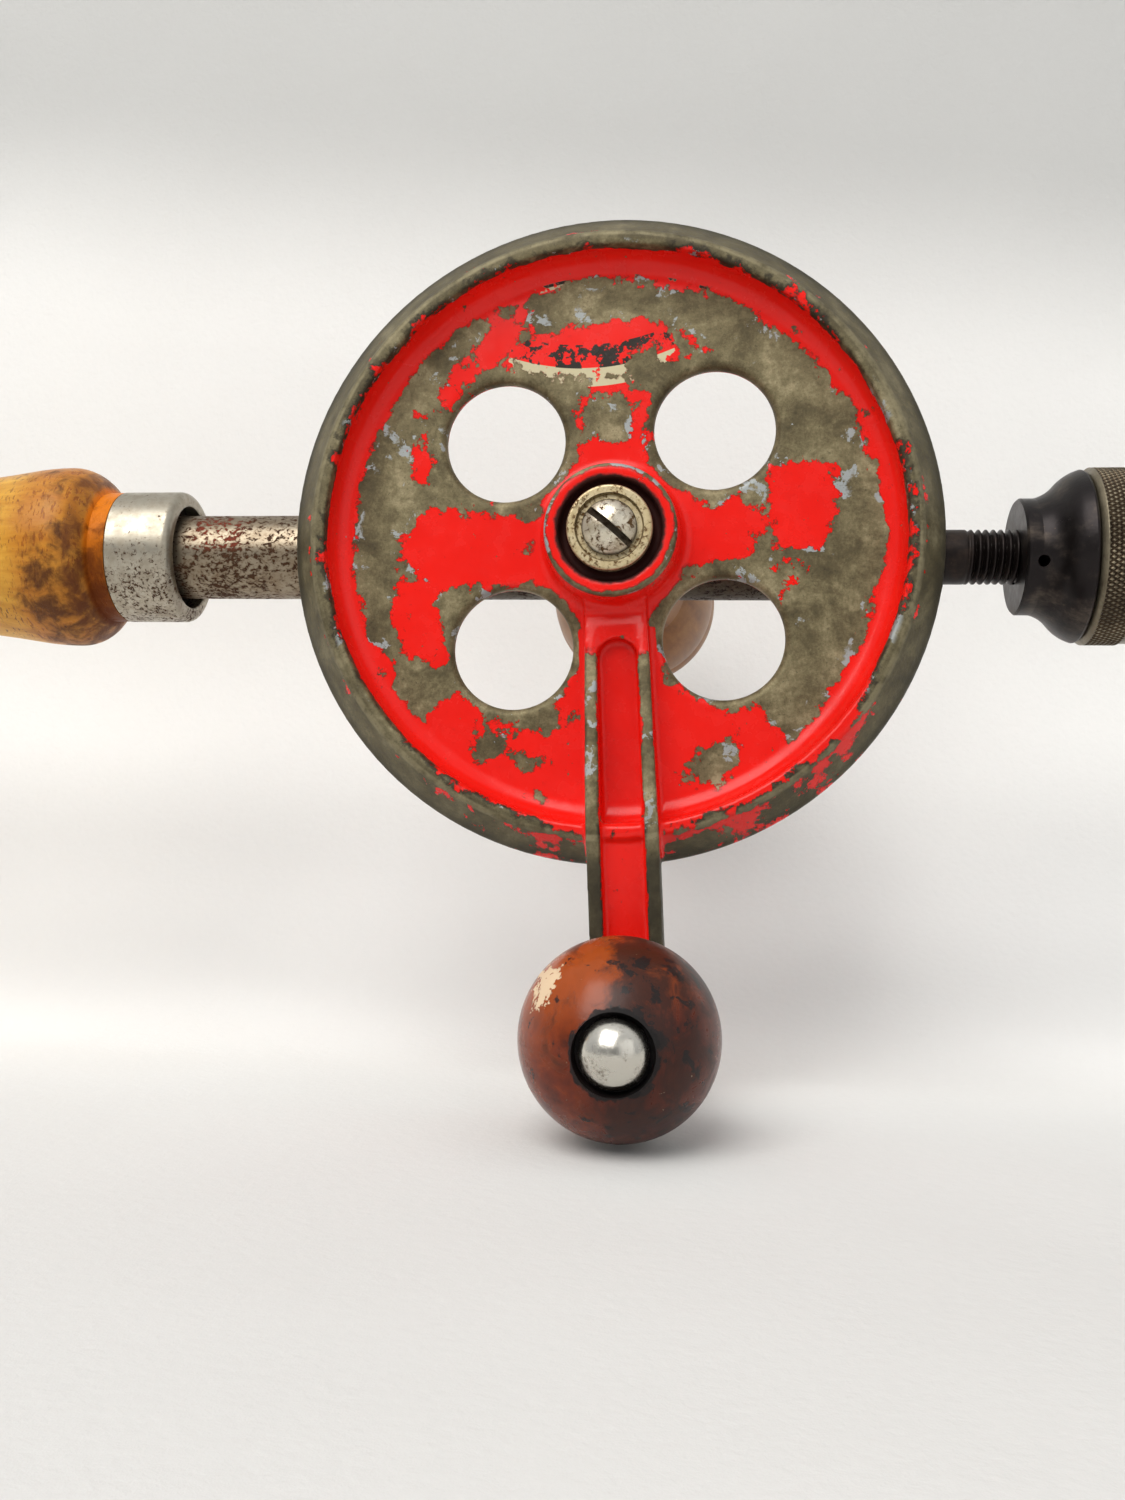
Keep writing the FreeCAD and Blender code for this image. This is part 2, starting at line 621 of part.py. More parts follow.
def gear_tooth_section(body, name, station):
    """One tooth's cross-section, drawn at a given distance from the axle crossing."""
    scale = " * %s / gear_outer" % station
    root = "(pitch_radius + pinion_tip + tooth_gap + tooth_sink)"
    root_half = "(tooth_half + (pinion_tip + tooth_gap + tooth_sink) * tooth_slope)"
    tip = "(pitch_radius - gear_tip)"
    tip_half = "(tooth_half - gear_tip * tooth_slope)"
    return outline(body, name, "YZ_Plane", [
        ("-" + root + scale, "-" + root_half + scale),
        ("-" + tip + scale, "-" + tip_half + scale),
        ("-" + tip + scale, tip_half + scale),
        ("-" + root + scale, root_half + scale),
    ], offset=station)


def wheel_teeth(body):
    """Ring of straight bevel teeth on the back of the rim, all pointing at the axle crossing."""
    inner = gear_tooth_section(body, "inner_tooth_end", "gear_inner")
    outer = gear_tooth_section(body, "outer_tooth_end", "gear_outer")
    tooth = body.newObject("PartDesign::AdditiveLoft", "gear_tooth")
    tooth.Profile = inner
    tooth.Sections = [outer]
    tooth.Ruled = True
    doc.recompute()
    pattern = body.newObject("PartDesign::PolarPattern", "gear_tooth_ring")
    pattern.Originals = [tooth]
    pattern.Axis = (plane_of(body, "Y_Axis"), [""])
    pattern.Angle = 360
    pattern.setExpression("Occurrences", bound("gear_teeth"))
    body.Tip = pattern


def crank_arm(body):
    """Arm outside the rim, its two ribs from hub to boss, the arched bridge that closes the channel between
    them at the hub, and the boss under the knob."""
    arm = outline(body, "arm_outline", "XZ_Plane", [
        ("-arm_half", "-rim_radius + 3"),
        ("-arm_half", "-crank_radius"),
        ("arm_half", "-crank_radius"),
        ("arm_half", "-rim_radius + 3"),
    ], offset="-arm_back")
    pad(body, "arm_plate", arm, "arm_back - arm_floor")
    floor = outline(body, "floor_start", "XZ_Plane", [
        ("-arm_half + 0.5", "-bead_inner + 0.4"),
        ("-arm_half + 0.5", "-rim_radius + 2"),
        ("arm_half - 0.5", "-rim_radius + 2"),
        ("arm_half - 0.5", "-bead_inner + 0.4"),
    ], offset="-web_front")
    pad(body, "floor_step", floor, "web_front - arm_floor")
    for side, word in (("-", "left"), ("", "right")):
        steps = [
            (side + "rib_half", "-rib_inner_end"),
            (side + "arm_half", "-bead_inner"),
            (side + "arm_half", "-crank_radius"),
            (side + "(arm_half - rib_width)", "-crank_radius"),
            (side + "(arm_half - rib_width)", "-bead_inner"),
            (side + "(rib_half - rib_width * 0.85)", "-rib_inner_end"),
        ]
        rib = outline(body, word + "_rib_outline", "XZ_Plane", steps, offset="-web_front")
        pad(body, word + "_rib", rib, "web_front - rib_top")
    head = outline(body, "channel_head_outline", "XZ_Plane", [
        ("-rib_half", "-hub_radius"),
        ("-rib_half", "-channel_start"),
        ("-channel_half", "-channel_start", "channel_arch", "right"),
        ("channel_half", "-channel_start"),
        ("rib_half", "-channel_start"),
        ("rib_half", "-hub_radius"),
    ], offset="-web_front")
    pad(body, "channel_head", head, "web_front - head_front")
    slope = outline(body, "rib_slope", "YZ_Plane", [
        ("rib_root", "-rib_inner_end"),
        ("rib_top", "-rib_crest"),
        ("hub_front", "-rib_crest"),
        ("hub_front", "-rib_inner_end"),
    ])
    sloped = pocket(body, "rib_slope_cut", slope, "arm_half * 2 + 2")
    sloped.Midplane = True
    middle = [("0", "-crank_radius")]
    boss = circles(body, "boss_outline", "XZ_Plane", middle, "boss_radius", offset="-arm_back")
    pad(body, "boss", boss, "arm_back - boss_front")
    pin = circles(body, "knob_pin_hole", "XZ_Plane", middle, "knob_pin_radius", offset="0")
    pocket(body, "knob_pin_cut", pin)


def crank_wheel():
    body = new_body("crank_wheel")
    wheel_blank(body)
    wheel_holes(body)
    wheel_teeth(body)
    crank_arm(body)
    place(body, angle="-crank_angle")
    node(body, "crank_wheel")


# ---------------------------------------------------------------- axle

def axle_stud():
    """Bearing for the wheel, with a saddle against the tube and a thread behind it."""
    body = turned_on_y("axle_stud", [
        ("0", "axle_flange_front"),
        ("axle_flange", "axle_flange_front"),
        ("axle_flange", "0"),
        ("0", "0"),
    ])
    seat = circles(body, "tube_seat", "YZ_Plane", [("0", "0")], "tube_radius")
    pocket(body, "tube_seat_cut", seat)
    turn_profile(body, "stud_core", "XY_Plane", "V_Axis", [
        ("0", "axle_end"),
        ("hub_bore - running_gap - chamfer", "axle_end"),
        ("hub_bore - running_gap", "axle_end + chamfer"),
        ("hub_bore - running_gap", "axle_flange_front + chamfer"),
        ("cross_hole", "-tube_radius"),
        ("cross_hole", "tube_radius"),
        ("axle_thread", "tube_radius + chamfer"),
        ("axle_thread", "axle_rear - chamfer"),
        ("axle_thread - chamfer", "axle_rear"),
        ("0", "axle_rear"),
    ])
    tapped = circles(body, "screw_hole", "XZ_Plane", [("0", "0")], "axle_screw_shank", offset="-axle_end")
    pocket(body, "screw_hole_cut", tapped, "axle_screw_length + chamfer")
    place(body)
    node(body, "axle_stud")


def axle_washer():
    """Cupped washer that keeps the wheel on its axle."""
    body = turned_on_y("axle_washer", [
        ("axle_screw_shank", "axle_end"),
        ("axle_washer_radius", "axle_end"),
        ("axle_washer_radius", "axle_washer_front + washer_edge", "washer_edge", "right"),
        ("axle_washer_radius - washer_edge", "axle_washer_front"),
        ("axle_screw_head + 0.95", "axle_washer_front"),
        ("axle_screw_head + 0.7", "axle_washer_front + washer_cup"),
        ("axle_screw_shank", "axle_washer_front + washer_cup"),
    ])
    place(body)
    node(body, "axle_washer")


def axle_screw():
    body = turned_on_y("axle_screw", [
        ("0", "axle_end + axle_screw_length"),
        ("axle_screw_shank", "axle_end + axle_screw_length"),
        ("axle_screw_shank", "axle_washer_front + washer_cup"),
        ("axle_screw_head", "axle_washer_front + washer_cup"),
        ("axle_screw_head", "axle_washer_front - 0.1", 5.2, "right"),
        ("0", "axle_washer_front - 1.65"),
    ])
    slot = outline(body, "slot_outline", "XZ_Plane", [
        ("-axle_screw_head * 1.2", "-slot_width / 2"),
        ("axle_screw_head * 1.2", "-slot_width / 2"),
        ("axle_screw_head * 1.2", "slot_width / 2"),
        ("-axle_screw_head * 1.2", "slot_width / 2"),
    ], offset="-axle_washer_front + 2")
    pocket(body, "slot_cut", slot, "slot_depth")
    place(body, angle="slot_angle")
    node(body, "axle_screw")


def saddle_washer():
    """Washer between the back of the tube and the lock nut, hollowed to fit the tube."""
    body = turned_on_y("saddle_washer", [
        ("0", "0"),
        ("axle_flange", "0"),
        ("axle_flange", "nut_rear"),
        ("0", "nut_rear"),
    ])
    seat = circles(body, "washer_seat", "YZ_Plane", [("0", "0")], "tube_radius")
    pocket(body, "washer_seat_cut", seat)
    hole = circles(body, "washer_hole", "XZ_Plane", [("0", "0")], "cross_hole")
    pocket(body, "washer_hole_cut", hole)
    place(body)
    node(body, "saddle_washer")


def lock_nut():
    body = new_body("lock_nut")
    half = "nut_half"
    point = "nut_half * 2 / sqrt(3)"
    side = "nut_half / sqrt(3)"
    hexagon = outline(body, "nut_hexagon", "XZ_Plane", [
        (point, "0"),
        (side, half),
        ("-" + side, half),
        ("-" + point, "0"),
        ("-" + side, "-" + half),
        (side, "-" + half),
    ], offset="-nut_rear")
    pad(body, "nut_block", hexagon, "nut_front - nut_rear", reverse=True)
    hole = circles(body, "nut_hole", "XZ_Plane", [("0", "0")], "axle_thread")
    pocket(body, "nut_hole_cut", hole)
    place(body)
    node(body, "lock_nut")


# ---------------------------------------------------------------- crank knob

def at_knob(item):
    """Puts a piece turned about the axle onto the knob's own axis."""
    swing = "crank_angle * 1 deg"
    place(item, "axle_x + crank_radius * sin(%s)" % swing, "-crank_radius * cos(%s)" % swing)


def knob_pin():
    body = turned_on_y("knob_pin", [
        ("0", "arm_back + 0.7"),
        ("knob_pin_radius - 0.3", "arm_back + 0.7"),
        ("knob_pin_radius", "arm_back + 0.4"),
        ("knob_pin_radius", "knob_recess_floor - 0.1"),
        ("knob_head", "knob_recess_floor - 0.1"),
        ("knob_head", "knob_recess_floor - knob_head_edge", "knob_head_dome", "right"),
        ("0", "knob_recess_floor - knob_head_height"),
    ])
    at_knob(body)
    node(body, "knob_pin")


def knob_washer():
    body = turned_on_y("knob_washer", [
        ("knob_pin_radius", "boss_front"),
        ("knob_neck - 0.9", "boss_front"),
        ("knob_neck - 0.9", "knob_rear + 0.1"),
        ("knob_pin_radius", "knob_rear + 0.1"),
    ])
    at_knob(body)
    node(body, "knob_washer")


def crank_knob():
    """Pear-shaped wooden knob with a sunk head for its pin."""
    body = turned_on_y("crank_knob", [
        ("knob_pin_radius + running_gap", "knob_rear"),
        ("knob_neck - knob_neck_round", "knob_rear", "knob_neck_round", "right"),
        ("knob_neck", "knob_rear - knob_neck_round"),
        ("knob_neck", "knob_neck_end", "knob_hollow", "left"),
        ("knob_ball * sin(knob_ball_start * 1 deg)", "knob_centre + knob_ball * cos(knob_ball_start * 1 deg)",
         "knob_ball", "right"),
        ("knob_ball", "knob_centre", "knob_ball", "right"),
        ("knob_recess", "knob_centre - sqrt(knob_ball ^ 2 - knob_recess ^ 2)"),
        ("knob_recess - 0.2", "knob_recess_floor"),
        ("knob_pin_radius + running_gap", "knob_recess_floor"),
    ])
    at_knob(body)
    node(body, "crank_knob")


# ---------------------------------------------------------------- handles

def main_handle():
    """Turned grip: domed butt, long waist, bulge, neck, and a tenon inside the ferrule."""
    body = turned_on_x("main_handle", [
        ("tube_rear", "0"),
        ("handle_end", "0"),
        ("handle_end", "pole_flat", "butt_dome", "right"),
        ("handle_end + butt_corner_at", "butt_corner", "butt_corner_round", "right"),
        ("handle_end + butt_side_at", "butt_side", "waist_rear_sweep", "left"),
        ("handle_end + waist_at", "handle_waist", "waist_front_sweep", "left"),
        ("handle_end + bulge_start_at", "bulge_start", "bulge_sweep", "right"),
        ("handle_end + bulge_at", "handle_bulge", "shoulder_round", "right"),
        ("handle_end + neck_at", "handle_neck"),
        ("ferrule_rear", "handle_neck"),
        ("ferrule_rear", "handle_tenon"),
        ("handle_front - chamfer", "handle_tenon"),
        ("handle_front", "handle_tenon - chamfer"),
        ("handle_front", "tube_radius"),
        ("tube_rear", "tube_radius"),
    ])
    place(body)
    node(body, "main_handle")


def ferrule():
    """Steel cap pressed over the tenon, its mouth rolled inwards."""
    body = turned_on_x("ferrule", [
        ("ferrule_rear", "handle_tenon"),
        ("ferrule_rear", "ferrule_radius - 0.2"),
        ("ferrule_rear + 0.2", "ferrule_radius"),
        ("ferrule_front - ferrule_round", "ferrule_radius", "ferrule_round", "right"),
        ("ferrule_front", "ferrule_radius - ferrule_round"),
        ("ferrule_front", "ferrule_mouth + 0.3", 0.3, "right"),
        ("ferrule_front - 0.3", "ferrule_mouth"),
        ("ferrule_front - ferrule_wall", "ferrule_mouth"),
        ("ferrule_front - ferrule_wall", "handle_tenon - chamfer", "chamfer", "left"),
        ("ferrule_front - ferrule_wall - chamfer", "handle_tenon"),
    ])
    place(body)
    node(body, "ferrule")


def side_handle():
    """Wooden steadying handle that screws onto the back of the axle."""
    body = turned_on_y("side_handle", [
        ("insert_radius", "side_start"),
        ("side_neck - side_neck_round", "side_start", "side_neck_round", "left"),
        ("side_neck", "side_start + side_neck_round"),
        ("side_neck", "side_start + side_flare_at", "side_flare", "right"),
        ("side_rise", "side_start + side_rise_at", "side_sweep", "left"),
        ("side_radius", "side_start + side_wide_at", "side_corner", "left"),
        ("side_dome_radius", "side_end - side_dome_at", "side_dome", "left"),
        ("pole_flat", "side_end"),
        ("0", "side_end"),
        ("0", "insert_end"),
        ("insert_radius", "insert_end"),
    ])
    place(body)
    node(body, "side_handle")


def side_handle_insert():
    body = turned_on_y("side_handle_insert", [
        ("axle_thread", "side_start"),
        ("insert_radius", "side_start"),
        ("insert_radius", "insert_end"),
        ("axle_thread", "insert_end"),
    ])
    place(body)
    node(body, "side_handle_insert")


# ---------------------------------------------------------------- chuck

def jaw_rod(name, radius, start, stop):
    """Cylinder on a jaw's inclined axis, above the spindle, between two stations."""
    rod = doc.addObject("Part::Cylinder", name)
    slope = "tan(jaw_angle * 1 deg)"
    rod.setExpression("Radius", bound(radius))
    rod.setExpression("Height", bound("(%s - %s) / cos(jaw_angle * 1 deg)" % (stop, start)))
    rod.Placement.Rotation = FreeCAD.Rotation(Y_AXIS, 90 + size("jaw_angle"))
    rod.setExpression(".Placement.Rotation.Angle", bound("90 deg + jaw_angle * 1 deg"))
    rod.setExpression(".Placement.Base.x", bound(start))
    rod.setExpression(".Placement.Base.z", bound("jaw_offset + (jaw_station - %s) * %s" % (start, slope)))
    return rod


def chuck_core():
    """Chuck body before the jaws' holes are drilled."""
    core = turned_on_x("chuck_core", [
        ("chuck_rear", "spindle_radius"),
        ("chuck_rear", "chuck_rear_radius - rear_chamfer"),
        ("chuck_rear + rear_chamfer", "chuck_rear_radius"),
        ("chuck_rear + chuck_hollow_at", "chuck_rear_radius", "chuck_hollow", "left"),
        ("chuck_rear + chuck_swell_at", "chuck_swell_radius", "chuck_swell", "right"),
        ("chuck_shoulder - shoulder_edge", "chuck_flare", "shoulder_edge", "right"),
        ("chuck_shoulder", "chuck_flare - shoulder_edge"),
        ("chuck_shoulder", "core_radius"),
        ("groove_rear", "core_radius"),
        ("groove_rear", "groove_radius"),
        ("groove_front", "groove_radius"),
        ("groove_front", "cone_start"),
        ("chuck_front - nose_chamfer", "core_nose"),
        ("chuck_front", "core_nose - nose_chamfer"),
        ("chuck_front", "shank_bore"),
        ("shank_floor", "shank_bore"),
        ("shank_floor - drill_point", "0"),
        ("spindle_socket", "0"),
        ("spindle_socket", "spindle_radius"),
    ])
    spanner = circles(core, "spanner_hole", "XZ_Plane", [("spanner_station", "spanner_drop")], "spanner_hole")
    pocket(core, "spanner_hole_cut", spanner)
    return core


def chuck_body():
    core = chuck_core()
    bores = []
    for number in range(3):
        mark = number + 1
        rod = jaw_rod("jaw_bore_%d" % mark, "jaw_radius + running_gap", "jaw_rear - 1", "chuck_front + 3")
        turned = doc.addObject("Part::Compound", "turned_bore_%d" % mark)
        turned.Links = [rod]
        turned.Placement.Rotation = FreeCAD.Rotation(X_AXIS, 120 * number)
        bores.append(turned)
    tools = doc.addObject("Part::MultiFuse", "jaw_bores")
    tools.Shapes = bores
    body = cut("chuck_body", core, tools)
    place(body)
    node(body, "chuck_body")


def chuck_sleeve():
    """Hand-turned shell with a raised band to knurl."""
    body = turned_on_x("chuck_sleeve", [
        ("sleeve_rear", "sleeve_bore"),
        ("sleeve_rear", "band_radius - sleeve_bevel"),
        ("sleeve_rear + sleeve_bevel", "band_radius"),
        ("sleeve_band - band_step", "band_radius"),
        ("sleeve_band", "sleeve_radius"),
        ("sleeve_taper_at", "sleeve_radius", "sleeve_taper", "right"),
        ("sleeve_front - nose_round", "sleeve_nose", "nose_round", "right"),
        ("sleeve_front", "sleeve_nose - nose_round"),
        ("sleeve_front", "core_nose + mouth_gap"),
        ("groove_front + 0.3", "cone_start + 0.2"),
        ("groove_front + 0.3", "sleeve_bore"),
    ])
    place(body)
    node(body, "chuck_sleeve")


def chuck_nut():
    """Ring nut in two halves, pressed into the sleeve around the jaws."""
    ring = turned_on_x("nut_ring", [
        ("groove_rear + nut_gap", "nut_inner_rear"),
        ("groove_rear + nut_gap", "sleeve_bore"),
        ("groove_front - nut_gap", "sleeve_bore"),
        ("groove_front - nut_gap", "nut_inner_front"),
    ])
    gap = doc.addObject("Part::Box", "nut_split")
    gap.setExpression("Length", bound("groove_front - groove_rear"))
    gap.setExpression("Width", bound("sleeve_bore * 3"))
    gap.setExpression("Height", bound("nut_split_width"))
    gap.setExpression(".Placement.Base.x", bound("groove_rear"))
    gap.setExpression(".Placement.Base.y", bound("-sleeve_bore * 1.5"))
    gap.setExpression(".Placement.Base.z", bound("-nut_split_width / 2"))
    nut = cut("chuck_nut", ring, gap)
    place(nut)
    node(nut, "chuck_nut")


def chuck_jaw(number):
    """Sloping rod cut to a wedge, with a hollow face that grips a round shank."""
    name = "chuck_jaw_%d" % number
    rod = jaw_rod(name + "_rod", "jaw_radius", "jaw_rear - 1", "jaw_front + 1")
    wedge = doc.addObject("Part::Prism", name + "_wedge")
    wedge.Polygon = 6
    wedge.setExpression("Circumradius", bound("sleeve_bore"))
    wedge.setExpression("Height", bound("jaw_front - jaw_rear"))
    wedge.Placement.Rotation = FreeCAD.Rotation(Y_AXIS, 90)
    wedge.setExpression(".Placement.Base.x", bound("jaw_rear"))
    wedge.setExpression(".Placement.Base.z", bound("jaw_wedge + sleeve_bore"))
    blank = doc.addObject("Part::MultiCommon", name + "_blank")
    blank.Shapes = [rod, wedge]
    shank = cylinder(name + "_shank", "grip_radius", "jaw_front", "X", "jaw_rear - 10")
    jaw = cut(name, blank, shank)
    jaw.Placement.Rotation = FreeCAD.Rotation(X_AXIS, 120 * (number - 1))
    place(jaw)
    node(jaw, name)


# ---------------------------------------------------------------- build and write

def build():
    frame_tube()
    bush("front_bush", "front_bush_start", "tube_front")
    bush("rear_bush", "rear_bush_start", "rear_bush_end")
    spindle()
    spindle_collar()
    thrust_washer()
    pinion()
    pinion_pin()
    crank_wheel()
    axle_stud()
    axle_washer()
    axle_screw()
    saddle_washer()
    lock_nut()
    knob_pin()
    knob_washer()
    crank_knob()
    main_handle()
    ferrule()
    side_handle()
    side_handle_insert()
    chuck_body()
    chuck_sleeve()
    chuck_nut()
    for number in (1, 2, 3):
        chuck_jaw(number)
    doc.recompute()


def check():
    for item in doc.Objects:
        faults = [state for state in item.State if state in ("Invalid", "Error")]
        if faults:
            raise RuntimeError("%s is %s" % (item.Label, faults))
    for item, name in NODES:
        if item.Shape.isNull() or not item.Shape.isValid():
            raise RuntimeError("%s has no valid shape" % name)
        if not item.Shape.Solids:
            raise RuntimeError("%s has no solid" % name)


def write():
    os.makedirs("parts", exist_ok=True)
    for item, name in NODES:
        item.Shape.exportStep("parts/%s.step" % name)


build()
check()
write()
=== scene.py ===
"""Hand drill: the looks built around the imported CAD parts."""
import math
import bpy
import bmesh
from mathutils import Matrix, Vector


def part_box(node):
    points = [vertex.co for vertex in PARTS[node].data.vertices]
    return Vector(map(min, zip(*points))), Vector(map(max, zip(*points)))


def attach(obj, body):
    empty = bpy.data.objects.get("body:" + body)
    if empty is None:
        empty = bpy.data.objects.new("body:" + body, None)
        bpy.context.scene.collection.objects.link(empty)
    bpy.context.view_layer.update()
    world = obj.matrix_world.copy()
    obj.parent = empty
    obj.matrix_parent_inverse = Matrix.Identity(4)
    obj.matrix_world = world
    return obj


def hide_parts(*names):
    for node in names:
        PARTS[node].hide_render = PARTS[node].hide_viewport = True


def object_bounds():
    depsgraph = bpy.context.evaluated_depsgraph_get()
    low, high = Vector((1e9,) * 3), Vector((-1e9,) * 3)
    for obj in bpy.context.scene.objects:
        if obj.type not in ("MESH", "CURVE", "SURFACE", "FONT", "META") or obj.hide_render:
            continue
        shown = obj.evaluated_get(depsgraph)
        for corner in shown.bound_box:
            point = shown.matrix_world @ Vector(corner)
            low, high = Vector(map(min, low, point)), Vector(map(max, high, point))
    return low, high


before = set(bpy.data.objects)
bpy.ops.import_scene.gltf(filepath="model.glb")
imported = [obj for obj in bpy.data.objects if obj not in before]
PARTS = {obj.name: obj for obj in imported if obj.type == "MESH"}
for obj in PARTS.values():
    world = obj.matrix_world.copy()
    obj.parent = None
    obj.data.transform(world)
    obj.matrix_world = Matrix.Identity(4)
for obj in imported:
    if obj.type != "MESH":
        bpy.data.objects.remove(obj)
CAD_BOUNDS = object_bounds()

MM = 0.001


def middle(node, axis):
    """Middle of a node's box along one axis, in metres."""
    low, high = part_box(node)
    return (low[axis] + high[axis]) / 2


AXLE_X = middle("axle_stud", 0)
KNOB_X = middle("crank_knob", 0)
KNOB_Z = middle("crank_knob", 2)


def reach_along(node):
    """Rear and front of a node on the drilling axis, in millimetres from the axle crossing."""
    low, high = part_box(node)
    return (low[0] - AXLE_X) / MM, (high[0] - AXLE_X) / MM


def half_width(node):
    """Half the width of a turned node, in millimetres."""
    low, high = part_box(node)
    return (high[1] - low[1]) / 2 / MM


# The wheel: the crank is half a tooth off the vertical, and four round holes sit on one circle. Millimetres.
TEETH = 56
CRANK_ANGLE = math.radians(180 / TEETH)
HOLE_RADIUS = 8.45
HOLE_CENTRE = 20.8

# The chuck sleeve and its raised, knurled band. Millimetres.
SLEEVE_BACK, SLEEVE_FRONT = reach_along("chuck_sleeve")
BAND_RADIUS = half_width("chuck_sleeve")
BAND_LENGTH = 5.5
SLEEVE_RADIUS = BAND_RADIUS - 0.25
SLEEVE_BORE = BAND_RADIUS - 1.7
NOSE_RADIUS = 9.3
BARREL_LENGTH = 9
COUNTERBORE_DEPTH = 14.5
BAND_BEVEL = 0.72
KNURL_COUNT = 104
KNURL_DEPTH = 0.24
KNURL_START = 0.75
KNURL_MARGIN = 0.25
KNURL_LEAN = 0.6
KNURL_FLATNESS = 1.6
KNURL_RUN_OUT = 0.15

# The spindle and its thread, 24 to the inch. Millimetres.
SPINDLE_RADIUS = half_width("spindle")
SPINDLE_REAR, SPINDLE_FRONT = reach_along("spindle")
THREAD_PITCH = 25.4 / 24
THREAD_START = 50.0
THREAD_END = 58.5
THREAD_DEPTH = 0.55
THREAD_FLATNESS = 1.25


# ---------------------------------------------------------------- shader helpers

class Shader:
    """A procedural material, with short names for the nodes it is made of. Lengths are in millimetres."""

    def __init__(self, name, origin=(0, 0, 0)):
        self.material = bpy.data.materials.new(name)
        self.material.use_nodes = True
        self.tree = self.material.node_tree
        self.tree.nodes.clear()
        self.output = self.new("ShaderNodeOutputMaterial")
        place = self.new("ShaderNodeMapping", vector_type="POINT")
        self.set(place.inputs["Vector"], self.new("ShaderNodeTexCoord").outputs["Object"])
        self.set(place.inputs["Location"], [-value / MM for value in origin])
        self.set(place.inputs["Scale"], (1 / MM,) * 3)
        self.point = place.outputs["Vector"]
        split = self.new("ShaderNodeSeparateXYZ")
        self.set(split.inputs[0], self.point)
        self.x, self.y, self.z = split.outputs

    def new(self, kind, **settings):
        """A new node of the given kind."""
        node = self.tree.nodes.new(kind)
        for key, value in settings.items():
            setattr(node, key, value)
        return node

    def set(self, socket, value):
        """Links the socket if value is another node's output, and otherwise sets it."""
        if isinstance(value, bpy.types.NodeSocket):
            self.tree.links.new(value, socket)
        elif hasattr(value, "__len__") and socket.type == "RGBA" and len(value) == 3:
            socket.default_value = (*value, 1)
        else:
            socket.default_value = value

    def math(self, operation, first, second=0.0):
        node = self.new("ShaderNodeMath", operation=operation)
        self.set(node.inputs[0], first)
        self.set(node.inputs[1], second)
        return node.outputs[0]

    def add(self, *values):
        total = values[0]
        for value in values[1:]:
            total = self.math("ADD", total, value)
        return total

    def times(self, first, second):
        return self.math("MULTIPLY", first, second)

    def less(self, first, second):
        """First less second."""
        return self.math("SUBTRACT", first, second)

    def most(self, *values):
        """The greatest of the values."""
        total = values[0]
        for value in values[1:]:
            total = self.math("MAXIMUM", total, value)
        return total

    def least(self, *values):
        """The smallest of the values."""
        total = values[0]
        for value in values[1:]:
            total = self.math("MINIMUM", total, value)
        return total

    def invert(self, value):
        """1 becomes 0 and 0 becomes 1."""
        return self.math("SUBTRACT", 1.0, value)

    def fade(self, value, low, high, start=0.0, end=1.0):
        """Smooth step from start to end while value goes from low to high."""
        node = self.new("ShaderNodeMapRange", interpolation_type="SMOOTHSTEP")
        limits = {"Value": value, "From Min": low, "From Max": high, "To Min": start, "To Max": end}
        for key, item in limits.items():
            self.set(node.inputs[key], item)
        return node.outputs["Result"]

    def band(self, value, low, high, soft):
        """1 between low and high, falling to 0 over the soft width outside."""
        rise = self.fade(value, low - soft, low)
        fall = self.fade(value, high, high + soft, 1.0, 0.0)
        return self.times(rise, fall)

    def stretched(self, scale, shift=(0, 0, 0)):
        """The place being shaded, scaled along each axis: below 1 draws features out."""
        node = self.new("ShaderNodeMapping")
        self.set(node.inputs["Vector"], self.point)
        self.set(node.inputs["Scale"], scale)
        self.set(node.inputs["Location"], shift)
        return node.outputs["Vector"]

    def noise(self, size, detail=4.0, rough=0.55, vector=None, twist=0.0, seed=0.0):
        """Noise with features about size millimetres across, centred on 0.5."""
        node = self.new("ShaderNodeTexNoise", noise_dimensions="4D")
        self.set(node.inputs["Vector"], vector or self.point)
        self.set(node.inputs["W"], seed)
        self.set(node.inputs["Scale"], 1.0 / size)
        self.set(node.inputs["Detail"], detail)
        self.set(node.inputs["Roughness"], rough)
        self.set(node.inputs["Distortion"], twist)
        return node.outputs["Fac"]

    def unsigned(self, value):
        """The value without its sign."""
        return self.math("ABSOLUTE", value)

    def radius(self, first, second):
        """Distance from the origin of a plane, given both distances in it."""
        return self.math("SQRT", self.add(self.times(first, first), self.times(second, second)))

    def ellipse(self, point, centre, half, tilt):
        """Millimetres inside an ellipse drawn across x and z; negative outside. Tilt is in degrees."""
        node = self.new("ShaderNodeMapping", vector_type="TEXTURE")
        self.set(node.inputs["Vector"], point)
        self.set(node.inputs["Location"], (centre[0], 0, centre[1]))
        self.set(node.inputs["Rotation"], (0, math.radians(-tilt), 0))
        self.set(node.inputs["Scale"], (half[0], 1, half[1]))
        length = self.new("ShaderNodeVectorMath", operation="LENGTH")
        self.set(length.inputs[0], node.outputs["Vector"])
        return self.times(self.less(1.0, length.outputs["Value"]), min(half))

    def colours(self, factor, stops):
        """A colour ramp. Each stop is a position and a colour."""
        node = self.new("ShaderNodeValToRGB")
        ramp = node.color_ramp
        while len(ramp.elements) < len(stops):
            ramp.elements.new(0.5)
        for element, (position, colour) in zip(ramp.elements, stops):
            element.position = position
            element.color = (*colour, 1)
        self.set(node.inputs["Fac"], factor)
        return node.outputs["Color"]

    def mix(self, factor, first, second):
        """A colour between two colours."""
        node = self.new("ShaderNodeMix", data_type="RGBA")
        self.set(node.inputs[0], factor)
        self.set(node.inputs[6], first)
        self.set(node.inputs[7], second)
        return node.outputs[2]

